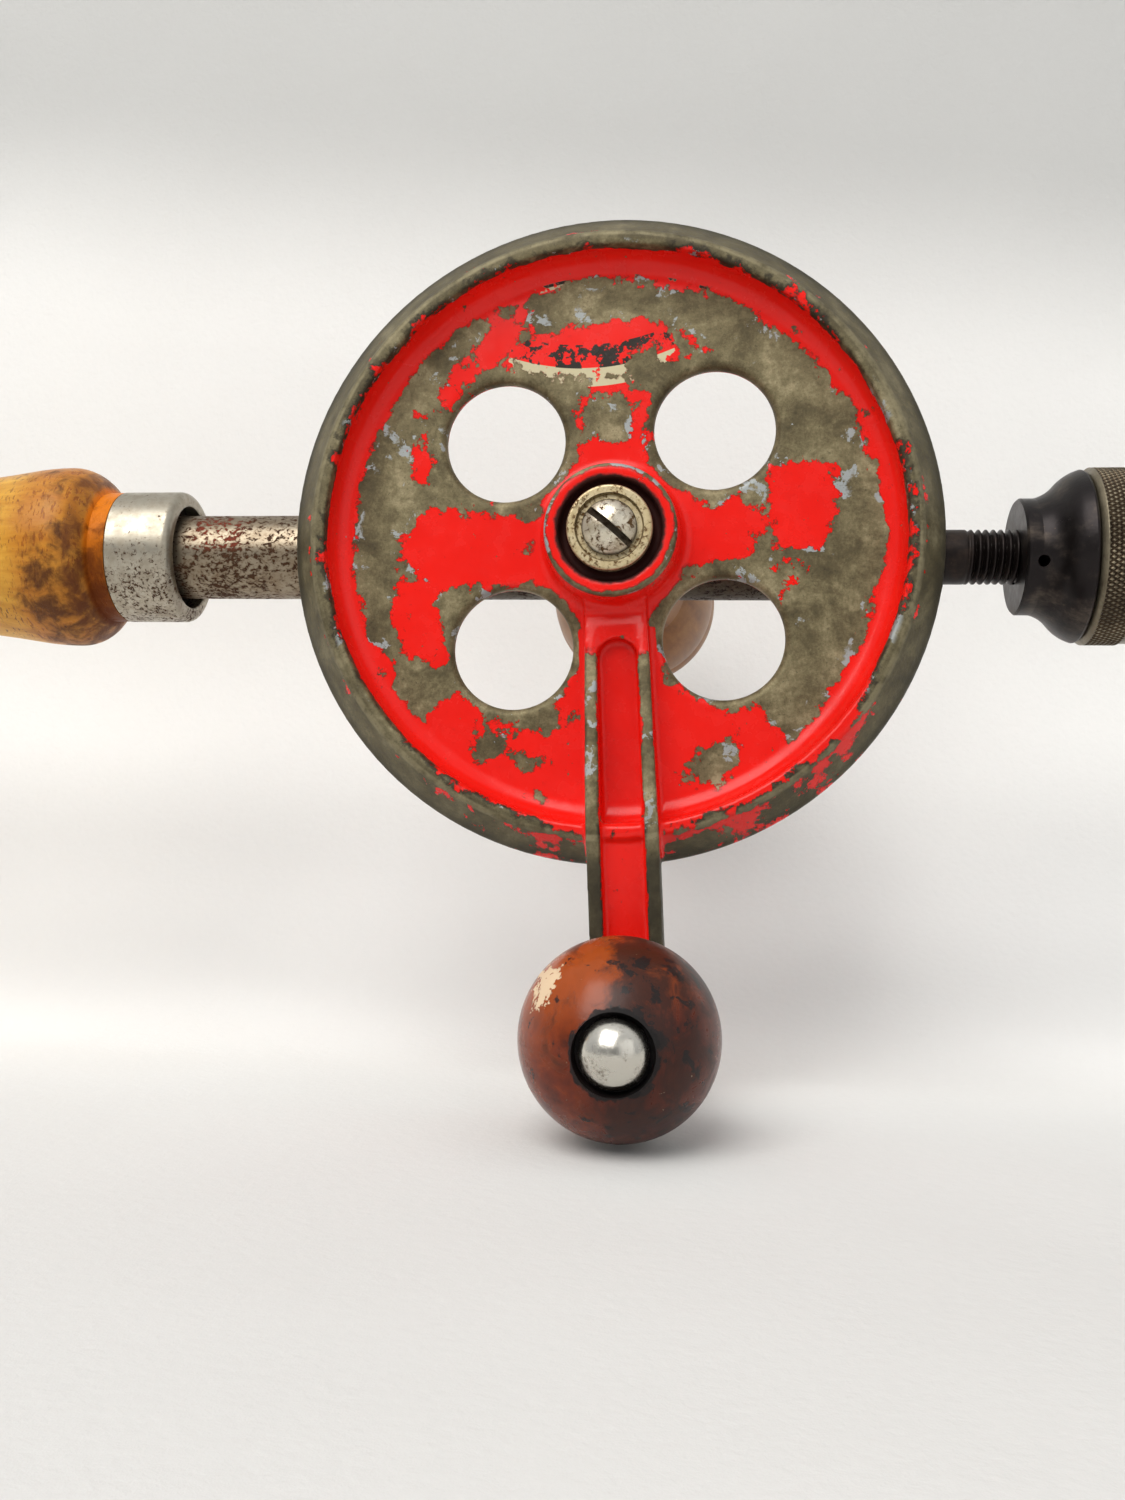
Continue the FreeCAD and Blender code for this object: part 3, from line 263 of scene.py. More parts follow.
    def blend(self, factor, first, second):
        """A number between two numbers."""
        node = self.new("ShaderNodeMix", data_type="FLOAT")
        self.set(node.inputs[0], factor)
        self.set(node.inputs[2], first)
        self.set(node.inputs[3], second)
        return node.outputs[0]

    def bump(self, height, depth):
        """Relief of depth millimetres where height goes from 0 to 1."""
        node = self.new("ShaderNodeBump")
        self.set(node.inputs["Height"], height)
        self.set(node.inputs["Distance"], depth * MM)
        return node.outputs["Normal"]

    def finish(self, **inputs):
        """Wires a principled surface with the given inputs, and returns the material."""
        surface = self.new("ShaderNodeBsdfPrincipled")
        for key, value in inputs.items():
            self.set(surface.inputs[key.replace("_", " ")], value)
        self.set(self.output.inputs["Surface"], surface.outputs["BSDF"])
        return self.material


# ---------------------------------------------------------------- materials

ZINC = ((0.16, (0.036, 0.027, 0.012)), (0.40, (0.095, 0.076, 0.036)), (0.56, (0.165, 0.137, 0.070)),
        (0.80, (0.34, 0.290, 0.170)))
FRESH_ZINC = (0.33, 0.36, 0.365)
RED = ((0.0, (0.62, 0.0065, 0.0035)), (1.0, (0.86, 0.0120, 0.0060)))
GREASE = (0.010, 0.007, 0.005)
TARNISH = (0.050, 0.042, 0.024)
RIM_SLOPE_SHADE = (0.020, 0.018, 0.012)
DARK_BORDER = (0.018, 0.014, 0.008)
CREST_HIGHLIGHT = (0.30, 0.26, 0.155)
PIT = (0.030, 0.026, 0.015)
TOOTH_GRIME = (0.040, 0.032, 0.024)
RED_GRIME = (0.20, 0.008, 0.004)
RED_EDGE_SHADE = (0.14, 0.010, 0.006)
TRANSFER_CREAM = (0.52, 0.47, 0.30)
TRANSFER_BLACK = (0.022, 0.018, 0.014)
RUST = ((0.024, 0.010, 0.005), (0.085, 0.036, 0.013))
RED_RUST = (0.200, 0.032, 0.016)
TUBE_WHEEL_SHADE = (0.012, 0.009, 0.007)
SLOT_SHADE = (0.020, 0.011, 0.005)
DUST = (0.16, 0.11, 0.07)
BRIGHT_POINTS = (0.26, 0.225, 0.155)

FLECK = (0.075, 0.020, 0.004)
WARM_SHOULDER = (0.38, 0.100, 0.007)
HAND_GRIME_AND_SHADE = (0.062, 0.017, 0.003)
CREASE_BROWN = (0.110, 0.030, 0.005)
NECK_ORANGE = (0.62, 0.165, 0.005)
NECK_SHADE = (0.15, 0.027, 0.003)
NECK_STREAK = (0.085, 0.018, 0.003)
CHIPPED_WOOD = (0.70, 0.46, 0.18)
BORE_SHADE = (0.012, 0.008, 0.005)
KNOB_LIT_TOP = (0.40, 0.074, 0.007)
KNOB_DARK_AND_SHADE = (0.018, 0.006, 0.004)
KNOB_BLOT = (0.007, 0.005, 0.005)
KNOB_CHIP = (0.66, 0.50, 0.33)
KNOB_HOLLOW = (0.005, 0.004, 0.004)
SIDE_GRIME = (0.075, 0.026, 0.009)

# Stations along the main handle in millimetres from the axle crossing, from its neck rearwards.
NECK_FRONT = -76.2
NECK_REAR = -79.2
SHOULDER_FRONT = -79.0
SHOULDER_REAR = -84.5
BUTT_START = -166.0

# How worn a place is, in millimetres past the paint's edge, where it has one value.
PROTECTED = -1.6
PAINTED = -1.5

# Distances from the axle on the wheel, in millimetres.
HUB_EDGE = 8.5
HUB_FOOT = 10.4
RING_INNER = 19.5
TEETH_INNER = 31.8
RING_OUTER = 36.9
RIM_FOOT = 39.5
RIM_CREST = 41.2
HOLE_MARGIN = 1.3

# Distances in front of the drilling axis on the wheel, in millimetres.
TEETH_FRONT = 11.7
WEB_BACK = 12.0
TRANSFER_DEPTH = 13.4
RIM_TOP = 17.5
HUB_RECESS = 17.5
HUB_TOP = 19.9
BOSS_TOP = 20.9

# Wear on the crank arm, in millimetres: distances below the axle where it starts, and half widths.
ARM_START = 12.0
RIB_START = 16.5
PAST_RIM_START = 44.5
BOSS_START = 56.0
CHANNEL_HALF_WIDTH = 2.95
SIDE_HALF_WIDTH = 4.45
ARM_WEAR_HALF_WIDTH = 5.4

# The bare ring is open in a sector about the crank. Half its angle in radians, and the tangent of its lean.
SECTOR_HALF = 0.76
SECTOR_LEAN = 0.09

# Paint left and paint lost on the web, in the wheel's own frame with the crank straight down:
# centre (x, z), half sizes, tilt in degrees.
PAINT_LEFT = (
    ((25.7, 3.4), (5.4, 6.4), 0),
    ((24.4, -6.1), (1.7, 3.6), 0),
    ((15.8, 1.8), (8.5, 3.2), 0),
    ((-20.5, 0.3), (10.0, 6.2), 0),
    ((-27.3, -9.6), (3.4, 6.2), 12),
    ((-26.4, 12.6), (1.7, 3.6), 0),
    ((-18.6, 26.0), (9.0, 2.0), 38),
    ((-0.9, 26.6), (12.0, 4.0), 0),
    ((0.8, 18.2), (5.6, 5.0), 0),
)
PAINT_LOST = (
    ((12.0, -32.6), (5.6, 3.0), 20),
    ((-19.5, -27.7), (2.4, 1.9), -20),
    ((-13.1, -30.5), (1.8, 1.3), -15),
    ((-11.4, -35.2), (0.9, 1.4), 20),
    ((-10.1, -24.6), (3.6, 2.0), 10),
    ((0.4, 17.2), (3.6, 3.4), 0),
    ((15.7, -5.3), (5.6, 2.0), 0),
    ((-20.5, -7.3), (3.6, 1.1), 35),
    ((-14.8, 4.9), (4.2, 1.3), -10),
    ((5.2, 24.0), (1.6, 3.4), -30),
    ((-12.4, -1.2), (0.9, 1.4), -20),
)


def on_teeth(m, reach, front):
    """1 on the gear teeth at the back of the wheel, 0 elsewhere."""
    behind = m.fade(front, TEETH_FRONT, TEETH_FRONT - 0.4)
    return m.times(behind, m.fade(reach, TEETH_INNER, TEETH_INNER + 0.6))


def wheel_wear(m, point, x, z, reach, front):
    """How far the paint is worn, in millimetres past its edge: positive is bare."""
    # ring round the web, open in a sector about the crank
    across = m.add(x, m.times(z, -SECTOR_LEAN))
    down = m.less(m.times(z, -1.0), m.times(x, SECTOR_LEAN))
    turn = m.unsigned(m.math("ARCTAN2", across, down))
    past_sector = m.times(m.less(turn, SECTOR_HALF), reach)
    wear = m.least(m.less(reach, RING_INNER), m.less(RING_OUTER, reach), past_sector)
    for centre, half, tilt in PAINT_LEFT:
        wear = m.least(wear, m.times(m.ellipse(point, centre, half, tilt), -1.0))
    for centre, half, tilt in PAINT_LOST:
        wear = m.most(wear, m.ellipse(point, centre, half, tilt))
    # a bare margin round each hole
    offset = HOLE_CENTRE * math.sqrt(0.5)
    from_hole = m.radius(m.less(m.unsigned(x), offset), m.less(m.unsigned(z), offset))
    wear = m.most(wear, m.less(HOLE_RADIUS + HOLE_MARGIN, from_hole))
    # the back of the web is protected, apart from a few chips
    wear = m.blend(m.fade(front, WEB_BACK + 0.4, WEB_BACK), wear, PROTECTED)
    # crest and outside of the rim
    rim = m.least(m.less(reach, RIM_FOOT), m.times(m.less(front, RIM_TOP), 2.0))
    rim = m.most(rim, m.least(m.less(reach, RIM_CREST), 2.1))
    rim = m.less(rim, m.fade(m.add(z, m.times(x, -0.25)), -26.0, -38.0, 0.0, 1.5))
    # crank arm: bare ribs and sides, painted channel
    width = m.unsigned(x)
    arm = m.times(m.fade(z, -ARM_START, -ARM_START - 1.0),
                  m.fade(width, ARM_WEAR_HALF_WIDTH + 0.2, ARM_WEAR_HALF_WIDTH - 0.2))
    # the ribs' crest rises from the hub to the rim
    crest = m.fade(m.times(z, -1.0), 10.2, 36.9, 15.6, 20.4)
    rib = m.least(m.times(m.less(width, CHANNEL_HALF_WIDTH), 1.6),
                  m.times(m.less(front, m.less(crest, 0.9)), 1.4),
                  m.times(m.less(-RIB_START, z), 0.5))
    outside = m.least(m.times(m.less(width, SIDE_HALF_WIDTH), 2.5), m.less(-PAST_RIM_START, z))
    boss = m.least(m.less(front, BOSS_TOP), m.less(-BOSS_START, z))
    arm_wear = m.most(m.least(rib, 1.2), m.least(outside, 1.2), m.least(boss, 0.4), PAINTED)
    wear = m.blend(arm, m.most(wear, rim), arm_wear)
    # hub ring: only its outer edge is rubbed
    hub = m.least(m.times(m.less(reach, HUB_EDGE), 1.2), m.times(m.less(front, HUB_TOP), 1.2))
    wear = m.blend(m.fade(reach, HUB_FOOT, HUB_FOOT - 0.4), wear, m.most(m.least(hub, 0.6), -1.0))
    # the teeth are worn bare
    teeth = on_teeth(m, reach, front)
    return m.most(wear, m.less(m.times(teeth, 9.0), 5.0)), arm


def wheel_decal(m, x, z, reach):
    """Worn remains of a plain transfer: a cream band, a black one above it, and flecks of a border line.

    Returns how much cream and how much black is left."""
    from_middle = m.add(x, 1.6)
    level = m.less(z, m.times(m.math("POWER", from_middle, 2.0), 0.016))
    broken = m.less(m.noise(3.0, 5.0, 0.6, seed=14.0), 0.5)
    inside = m.fade(m.add(m.less(10.8, m.unsigned(from_middle)), m.times(broken, 12.0)), -0.1, 0.1)
    cream = m.times(m.band(level, 21.7, 24.3, 0.06), inside)
    black = m.times(m.band(level, 24.3, 27.6, 0.06), inside)
    black = m.times(black, m.fade(m.noise(1.8, 4.0, 0.6, seed=15.0), 0.49, 0.51))
    kept = m.invert(m.fade(m.noise(1.2, 5.0, 0.65, seed=16.0), 0.60, 0.62))
    line = m.times(m.band(reach, 36.6, 37.4, 0.06), m.fade(z, 33.0, 33.4))
    line = m.times(line, m.fade(m.noise(4.0, 3.0, 0.6, seed=17.0), 0.57, 0.59))
    line_black = m.times(line, m.fade(reach, 36.95, 37.05))
    return m.times(m.most(cream, line), kept), m.times(m.most(black, line_black), kept)


def wheel_paint():
    """Glossy red enamel over cast zinc, worn off in a ring on the web and along every edge."""
    m = Shader("red_paint_chipped", (AXLE_X, 0, 0))
    turn = m.new("ShaderNodeVectorRotate", rotation_type="Y_AXIS")
    m.set(turn.inputs["Vector"], m.point)
    m.set(turn.inputs["Angle"], CRANK_ANGLE)
    split = m.new("ShaderNodeSeparateXYZ")
    m.set(split.inputs[0], turn.outputs[0])
    x, y, z = split.outputs
    flat = m.new("ShaderNodeCombineXYZ")
    m.set(flat.inputs[0], x)
    m.set(flat.inputs[2], z)
    reach = m.radius(x, z)
    front = m.times(y, -1.0)
    wear, arm = wheel_wear(m, flat.outputs[0], x, z, reach, front)

    # where the paint ends: ragged on the web, calmer on the hub, the arm and the rim
    torn = m.times(m.less(m.noise(5.5, 6.0, 0.62, twist=0.3, seed=1.3), 0.5), 13.0)
    torn = m.add(torn, m.times(m.less(m.noise(1.5, 6.0, 0.68, twist=0.2, seed=4.1), 0.5), 7.0))
    calm = m.least(m.fade(reach, 10.0, 15.0, 0.16, 1.0), m.fade(arm, 0.0, 1.0, 1.0, 0.28))
    calm = m.least(calm, m.fade(m.unsigned(m.less(reach, 38.7)), 0.6, 2.6, 0.35, 0.8))
    level = m.add(wear, m.times(torn, calm))
    specks = m.times(m.less(m.noise(0.9, 3.0, 0.6, seed=9.0), 0.72), 20.0)
    chips = m.times(m.less(m.noise(3.4, 5.0, 0.65, twist=0.4, seed=21.0), 0.665), 14.0)
    level = m.most(level, specks, m.least(chips, 0.6))
    bare = m.fade(level, -0.04, 0.04)

    # bare zinc: mottled, tarnished outwards, brighter where it was scraped last, with a painted highlight
    # along the rim's crest and painted shade on its outer slope
    mottle = m.noise(0.8, 6.0, 0.78, seed=2.0)
    cloud = m.less(m.noise(6.5, 6.0, 0.62, twist=0.6, seed=5.5), 0.5)
    zinc = m.colours(m.add(m.times(m.less(mottle, 0.5), 0.9), m.times(cloud, 1.15), 0.5), ZINC)
    tarnish = m.fade(reach, 40.0, 41.0)
    zinc = m.mix(m.times(tarnish, 0.38), zinc, TARNISH)
    # painted shade: darker outwards on the rim's outer slope
    zinc = m.mix(m.times(m.fade(reach, 43.4, 45.2), 0.6), zinc, RIM_SLOPE_SHADE)
    border = m.times(m.fade(level, 1.1, 0.25), m.fade(m.unsigned(m.less(reach, 40.6)), 1.3, 0.7))
    zinc = m.mix(m.times(border, 0.8), zinc, DARK_BORDER)
    # painted highlight: a lighter line along the rim's crest
    crest_highlight = m.fade(m.noise(3.0, 5.0, 0.7, seed=19.0), 0.35, 0.6)
    crest_highlight = m.times(m.band(reach, 41.3, 41.8, 0.35), crest_highlight)
    zinc = m.mix(m.times(crest_highlight, 0.5), zinc, CREST_HIGHLIGHT)
    scrape = m.fade(m.noise(4.6, 5.0, 0.68, twist=0.3, seed=7.7), 0.585, 0.605)
    fresh = m.times(scrape, m.fade(level, 2.4, 1.4))
    fresh = m.times(m.most(fresh, m.fade(m.noise(5.0, 5.0, 0.7, seed=31.0), 0.66, 0.68)), m.invert(tarnish))
    zinc = m.mix(m.times(fresh, 0.85), zinc, FRESH_ZINC)
    pits = m.fade(m.noise(0.32, 3.0, 0.6, seed=3.3), 0.60, 0.72)
    zinc = m.mix(m.times(pits, 0.6), zinc, PIT)
    zinc = m.mix(m.times(on_teeth(m, reach, front), 0.6), zinc, TOOTH_GRIME)

    # enamel, with the transfer on it and a painted shadow of the paint's thickness along its broken edges
    red = m.colours(m.noise(14.0, 3.0, 0.5, seed=6.0), RED)
    grime = m.fade(m.noise(1.1, 6.0, 0.7, seed=8.0), 0.58, 0.74)
    red = m.mix(m.times(grime, 0.25), red, RED_GRIME)
    cream, black = wheel_decal(m, x, z, reach)
    decal_front = m.fade(front, TRANSFER_DEPTH, TRANSFER_DEPTH + 0.3)
    red = m.mix(m.times(cream, decal_front), red, TRANSFER_CREAM)
    red = m.mix(m.times(black, decal_front), red, TRANSFER_BLACK)
    edge_shade = m.fade(level, -0.34, -0.05)
    red = m.mix(m.times(edge_shade, 0.55), red, RED_EDGE_SHADE)
    colour = m.mix(bare, red, zinc)

    # old grease in the hub's recess
    ragged = m.times(m.less(m.noise(2.0, 5.0, 0.6, seed=12.0), 0.5), 1.4)
    soot = m.times(m.fade(m.add(reach, ragged), 7.75, 7.25), m.fade(front, HUB_RECESS, HUB_RECESS + 0.5))
    colour = m.mix(m.times(soot, 0.96), colour, GREASE)
    relief = m.add(m.times(m.invert(bare), 0.8), m.times(m.noise(0.5, 4.0, 0.6), m.blend(bare, 0.04, 0.34)))
    enamel_gloss = m.fade(m.noise(3.0, 4.0), 0.35, 0.75, 0.20, 0.34)
    zinc_gloss = m.fade(mottle, 0.3, 0.7, 0.46, 0.66)
    gloss = m.blend(soot, m.blend(bare, enamel_gloss, zinc_gloss), 0.7)
    return m.finish(Base_Color=colour, Metallic=m.times(bare, 0.45), Roughness=gloss,
                    Specular_IOR_Level=m.blend(bare, 0.26, 0.4), Normal=m.bump(relief, 0.14))


def pitted_metal(name, bright, tint, rust, amount, size, rough, stretch=(1, 1, 1), low_side=0.0,
                 patch=None, shade_behind=None, wheel_shade_from=None):
    """Plated steel whose plating is broken by small brown rust pits of about the given size.

    A larger amount means more pits, low_side adds some underneath, and patch (x, width, rise) adds a redder
    spot. Painted shade darkens the piece behind shade_behind, as in a screw's slot, and a painted shadow of
    the wheel darkens it from wheel_shade_from forwards."""
    m = Shader(name, (AXLE_X, 0, 0))
    where = m.stretched(stretch)
    pits = m.noise(size, 5.0, 0.62, vector=where, twist=0.6, seed=1.7)
    broad = m.less(m.noise(size * 7, 2.0, 0.5, seed=3.9), 0.5)
    down = m.times(m.fade(m.z, 5.0, -8.0), low_side)
    level = m.add(pits, m.times(broad, 0.22), down)
    if patch is not None:
        centre, width, rise = patch
        level = m.add(level, m.fade(m.unsigned(m.less(m.x, centre)), width, 0.0, 0.0, rise))
    pitted = m.fade(level, 1.0 - amount, 1.03 - amount)
    halo = m.times(m.fade(level, 0.9 - amount, 1.0 - amount), 0.45)
    stain = m.noise(size * 4, 6.0, 0.6, seed=6.1)
    metal = m.mix(m.fade(stain, 0.35, 0.75, 0.05, 0.7), bright, tint)
    metal = m.mix(halo, metal, rust[1])
    brown = m.mix(m.noise(size * 0.8, 3.0, seed=8.2), rust[0], rust[1])
    if patch is not None:
        spot = m.times(m.fade(m.unsigned(m.less(m.x, centre)), 5.5, 2.0), m.band(m.z, 1.0, 4.5, 1.5))
        brown = m.mix(m.times(spot, 0.8), brown, RED_RUST)
    colour = m.mix(pitted, metal, brown)
    # painted shadow: the tube darkens from the given station forwards, where the wheel shades it
    if wheel_shade_from is not None:
        wheel_shade = m.fade(m.add(m.x, m.times(m.less(stain, 0.5), 14.0)), wheel_shade_from, wheel_shade_from + 14.0)
        colour = m.mix(m.times(wheel_shade, 0.72), colour, TUBE_WHEEL_SHADE)
    # painted shade: darker behind the given depth, down in a screw's slot
    if shade_behind is not None:
        sunk = m.fade(m.y, shade_behind, shade_behind + 0.35)
        colour = m.mix(m.times(sunk, 0.92), colour, SLOT_SHADE)
    scratches = m.noise(0.25, 3.0, 0.6, vector=m.stretched((0.04, 1, 1)), seed=5.0)
    relief = m.add(m.times(m.invert(pitted), 0.8), m.times(scratches, 0.08))
    gloss = m.blend(pitted, m.fade(stain, 0.3, 0.7, rough, rough + 0.16), 0.75)
    return m.finish(Base_Color=colour, Metallic=m.blend(pitted, 0.95, 0.1), Roughness=gloss,
                    Specular_IOR_Level=m.blend(pitted, 0.5, 0.2),
                    Normal=m.bump(relief, 0.10))


def dark_oxide(name, axis_scale, base=(0.013, 0.010, 0.010), worn=(0.060, 0.046, 0.036), rough=0.36):
    """Blackened steel, browned with age and rubbed lighter here and there."""
    m = Shader(name, (AXLE_X, 0, 0))
    cloud = m.noise(5.0, 5.0, 0.62, seed=2.2)
    turned = m.noise(0.5, 3.0, 0.6, vector=m.stretched(axis_scale), seed=7.0)
    rub = m.times(m.fade(cloud, 0.45, 0.75), m.fade(turned, 0.3, 0.7, 0.4, 1.0))
    colour = m.mix(rub, base, worn)
    dust = m.fade(m.noise(0.6, 4.0, 0.7, seed=9.9), 0.66, 0.74)
    colour = m.mix(m.times(dust, 0.5), colour, DUST)
    relief = m.add(m.times(turned, 0.25), m.times(m.noise(0.8, 4.0), 0.4))
    return m.finish(Base_Color=colour, Metallic=0.75, Roughness=m.fade(cloud, 0.3, 0.7, rough, rough + 0.2),
                    Normal=m.bump(relief, 0.05))


def knurled_steel():
    """Browned knurl with bright worn points, and a pale rubbed edge behind it."""
    m = Shader("knurled_steel", (AXLE_X, 0, 0))
    reach = m.radius(m.y, m.z)
    cloud = m.noise(4.0, 5.0, 0.6, seed=2.9)
    tones = ((0.2, (0.022, 0.014, 0.008)), (0.5, (0.048, 0.032, 0.018)), (0.8, (0.090, 0.064, 0.038)))
    brown = m.colours(m.add(cloud, m.times(m.less(m.noise(0.6, 3.0), 0.5), 0.5)), tones)
    along = m.less(m.x, SLEEVE_BACK)
    in_band = m.band(along, 0.9, 5.3, 0.2)
    points = m.times(m.fade(reach, BAND_RADIUS - 0.07, BAND_RADIUS - 0.02), in_band)
    bevel = m.times(m.fade(along, 0.85, 0.65), m.fade(reach, BAND_RADIUS - 1.5, BAND_RADIUS - 1.1))
    barrel = m.fade(along, BAND_LENGTH - 0.1, BAND_LENGTH + 0.2)
    points = m.times(points, m.fade(cloud, 0.35, 0.6, 0.25, 1.0))
    pale = m.most(points, m.times(bevel, 0.8), m.times(barrel, 0.55))
    pale = m.times(pale, m.fade(m.noise(1.6, 5.0, 0.7, seed=5.1), 0.25, 0.6, 0.45, 1.0))
    colour = m.mix(pale, brown, BRIGHT_POINTS)
    return m.finish(Base_Color=colour, Metallic=0.8, Roughness=m.fade(cloud, 0.3, 0.7, 0.30, 0.5),
                    Normal=m.bump(m.noise(0.5, 4.0), 0.04))


def handle_wood():
    """Amber lacquer over turned wood: dark flecks, smears of hand grime by the shoulder, an orange neck; the
    grime and the neck are darker underneath as painted shade.
    """
    m = Shader("handle_wood", (AXLE_X, 0, 0))
    grain = m.noise(1.8, 6.0, 0.62, vector=m.stretched((0.14, 1, 1)), twist=0.4, seed=1.1)
    broad = m.noise(11.0, 4.0, 0.5, vector=m.stretched((0.5, 1, 1)), seed=3.0)
    tones = ((0.30, (0.27, 0.100, 0.010)), (0.44, (0.48, 0.215, 0.022)), (0.60, (0.65, 0.350, 0.046)),
             (0.85, (0.76, 0.47, 0.100)))
    amber = m.colours(m.add(m.times(grain, 0.62), m.times(broad, 0.40)), tones)
    strokes = m.noise(0.62, 3.0, 0.6, vector=m.stretched((1.5, 0.50, 0.50), (3, 1, 7)), twist=0.5, seed=4.4)
    flecks = m.fade(m.add(strokes, m.fade(m.x, -110.0, -90.0, 0.0, 0.04)), 0.595, 0.65)
    fleck_zone = m.fade(m.noise(6.0, 3.0, seed=8.8), 0.40, 0.54)
    colour = m.mix(m.times(m.times(flecks, fleck_zone), 0.8), amber, FLECK)

    # hand grime on the shoulder and a little on the butt, heavier underneath as painted shade
    shoulder = m.band(m.x, SHOULDER_REAR, SHOULDER_FRONT, 6.0)
    warm = m.times(m.band(m.x, -86.5, -79.3, 5.0), 0.55)
    colour = m.mix(warm, colour, WARM_SHOULDER)
    smear = m.noise(1.7, 6.0, 0.62, vector=m.stretched((0.6, 0.6, 0.6)), twist=0.5, seed=6.6)
    cloud = m.less(m.noise(7.0, 3.0, 0.55, seed=6.9), 0.5)
    # painted shade: low weighs the grime and the neck's streaks towards the underside
    low = m.fade(m.z, 6.0, -8.0, 0.0, 0.17)
    butt = m.fade(m.x, BUTT_START, BUTT_START - 12.0, 0.0, 0.08)
    grip = m.add(m.times(shoulder, m.add(low, 0.06)), butt)
    grime = m.fade(m.add(smear, m.times(cloud, 0.25), grip), 0.54, 0.84)
    colour = m.mix(m.times(grime, 0.92), colour, HAND_GRIME_AND_SHADE)
    crease = m.times(m.band(m.x, -80.6, -79.4, 0.9), m.fade(smear, 0.35, 0.6, 0.35, 1.0))
    colour = m.mix(m.times(crease, 0.8), colour, CREASE_BROWN)

    # the neck kept its orange lacquer, darker underneath as painted shade, with dark streaks that are partly
    # painted shade
    neck_end = m.fade(m.x, NECK_FRONT, NECK_FRONT + 0.3, 1.0, 0.0)
    neck = m.times(m.fade(m.x, NECK_REAR, NECK_REAR + 0.5), neck_end)
    orange = m.mix(m.fade(m.z, 7.0, -8.0, 0.0, 0.92), NECK_ORANGE, NECK_SHADE)
    # dark streaks, heavier underneath as painted shade
    streaks_and_shade = m.times(m.fade(m.add(smear, m.times(low, 1.2)), 0.48, 0.74), 0.75)
    orange = m.mix(streaks_and_shade, orange, NECK_STREAK)
    colour = m.mix(m.times(neck, 0.95), colour, orange)
    chip = m.times(m.fade(m.noise(2.6, 4.0, 0.6, seed=12.0), 0.735, 0.745), m.band(m.x, -150.0, -82.0, 1.0))
    colour = m.mix(chip, colour, CHIPPED_WOOD)
    # painted shade: the wood inside the ferrule is made near black
    inside = m.fade(m.x, -72.0, -70.0)
    colour = m.mix(inside, colour, BORE_SHADE)
    relief = m.add(m.times(m.invert(flecks), 0.35), m.times(grain, 0.4), m.times(m.invert(chip), 0.5))
    gloss = m.add(m.fade(broad, 0.3, 0.7, 0.32, 0.46), m.times(grime, 0.15))
    return m.finish(Base_Color=colour, Roughness=gloss, Specular_IOR_Level=m.blend(neck, 0.22, 0.08),
                    Normal=m.bump(relief, 0.08))


def knob_wood():
    """Red-brown stained knob with black stains, lighter on top and darker on its right side as painted light
    and shade, chipped to pale wood near the top left.
    """
    m = Shader("knob_wood", (KNOB_X, 0, KNOB_Z))
    grain = m.noise(2.2, 6.0, 0.64, vector=m.stretched((1, 0.25, 1)), twist=0.6, seed=1.9)
    broad = m.noise(5.0, 6.0, 0.64, twist=0.9, seed=2.4)
    tones = ((0.34, (0.045, 0.007, 0.003)), (0.50, (0.140, 0.020, 0.004)), (0.66, (0.33, 0.058, 0.007)))
    stain = m.colours(m.add(m.times(grain, 0.45), m.times(broad, 0.55)), tones)
    # painted light: lighter towards the top
    upper = m.fade(m.add(m.z, m.times(m.x, -0.25)), 1.0, 10.0)
    stain = m.mix(m.times(upper, 0.65), stain, KNOB_LIT_TOP)
    # painted shade: darker on the right side, in both the dark stain and the blots
    side = m.times(m.band(m.add(m.x, m.times(m.z, -0.15)), 2.0, 9.0, 6.0), 0.20)
    ring = m.fade(m.radius(m.x, m.z), 8.0, 4.8, 0.0, 0.07)
    crown = m.times(m.fade(m.radius(m.less(m.x, 1.0), m.less(m.z, 8.4)), 5.0, 2.0), 0.09)
    dark = m.fade(m.add(broad, side, ring, crown, m.times(m.less(grain, 0.5), 0.35)), 0.50, 0.75)
    colour = m.mix(m.times(dark, 0.9), stain, KNOB_DARK_AND_SHADE)
    blots = m.fade(m.add(m.noise(2.7, 5.0, 0.66, twist=0.5, seed=5.5), m.times(side, 0.35)), 0.615, 0.65)
    colour = m.mix(m.times(blots, 0.9), colour, KNOB_BLOT)
    above = m.less(m.z, 6.6)
    spot = m.radius(m.less(m.add(m.x, 8.3), m.times(above, 0.35)), m.times(above, 0.55))
    chip = m.fade(m.add(m.times(spot, -0.19), m.noise(1.3, 5.0, 0.62, seed=7.1)), 0.285, 0.30)
    scuff = m.fade(m.noise(0.8, 4.0, 0.6, seed=10.0), 0.715, 0.735)
    pale = m.most(m.times(chip, 0.97), m.times(scuff, 0.55))
    colour = m.mix(pale, colour, KNOB_CHIP)
    ragged = m.times(m.less(m.noise(1.1, 5.0, 0.6, seed=13.0), 0.5), 2.0)
    hollow = m.times(m.fade(m.add(m.radius(m.x, m.z), ragged), 5.2, 4.95), m.fade(m.y, -52.2, -52.0))
    colour = m.mix(m.times(hollow, 0.96), colour, KNOB_HOLLOW)
    relief = m.add(m.times(m.invert(pale), 0.6), m.times(grain, 0.25), m.times(broad, 0.6))
    gloss = m.add(0.24, m.times(dark, 0.14), m.times(pale, 0.4), m.times(hollow, 0.3))
    return m.finish(Base_Color=colour, Roughness=gloss, Specular_IOR_Level=0.28,
                    Normal=m.bump(relief, 0.12))


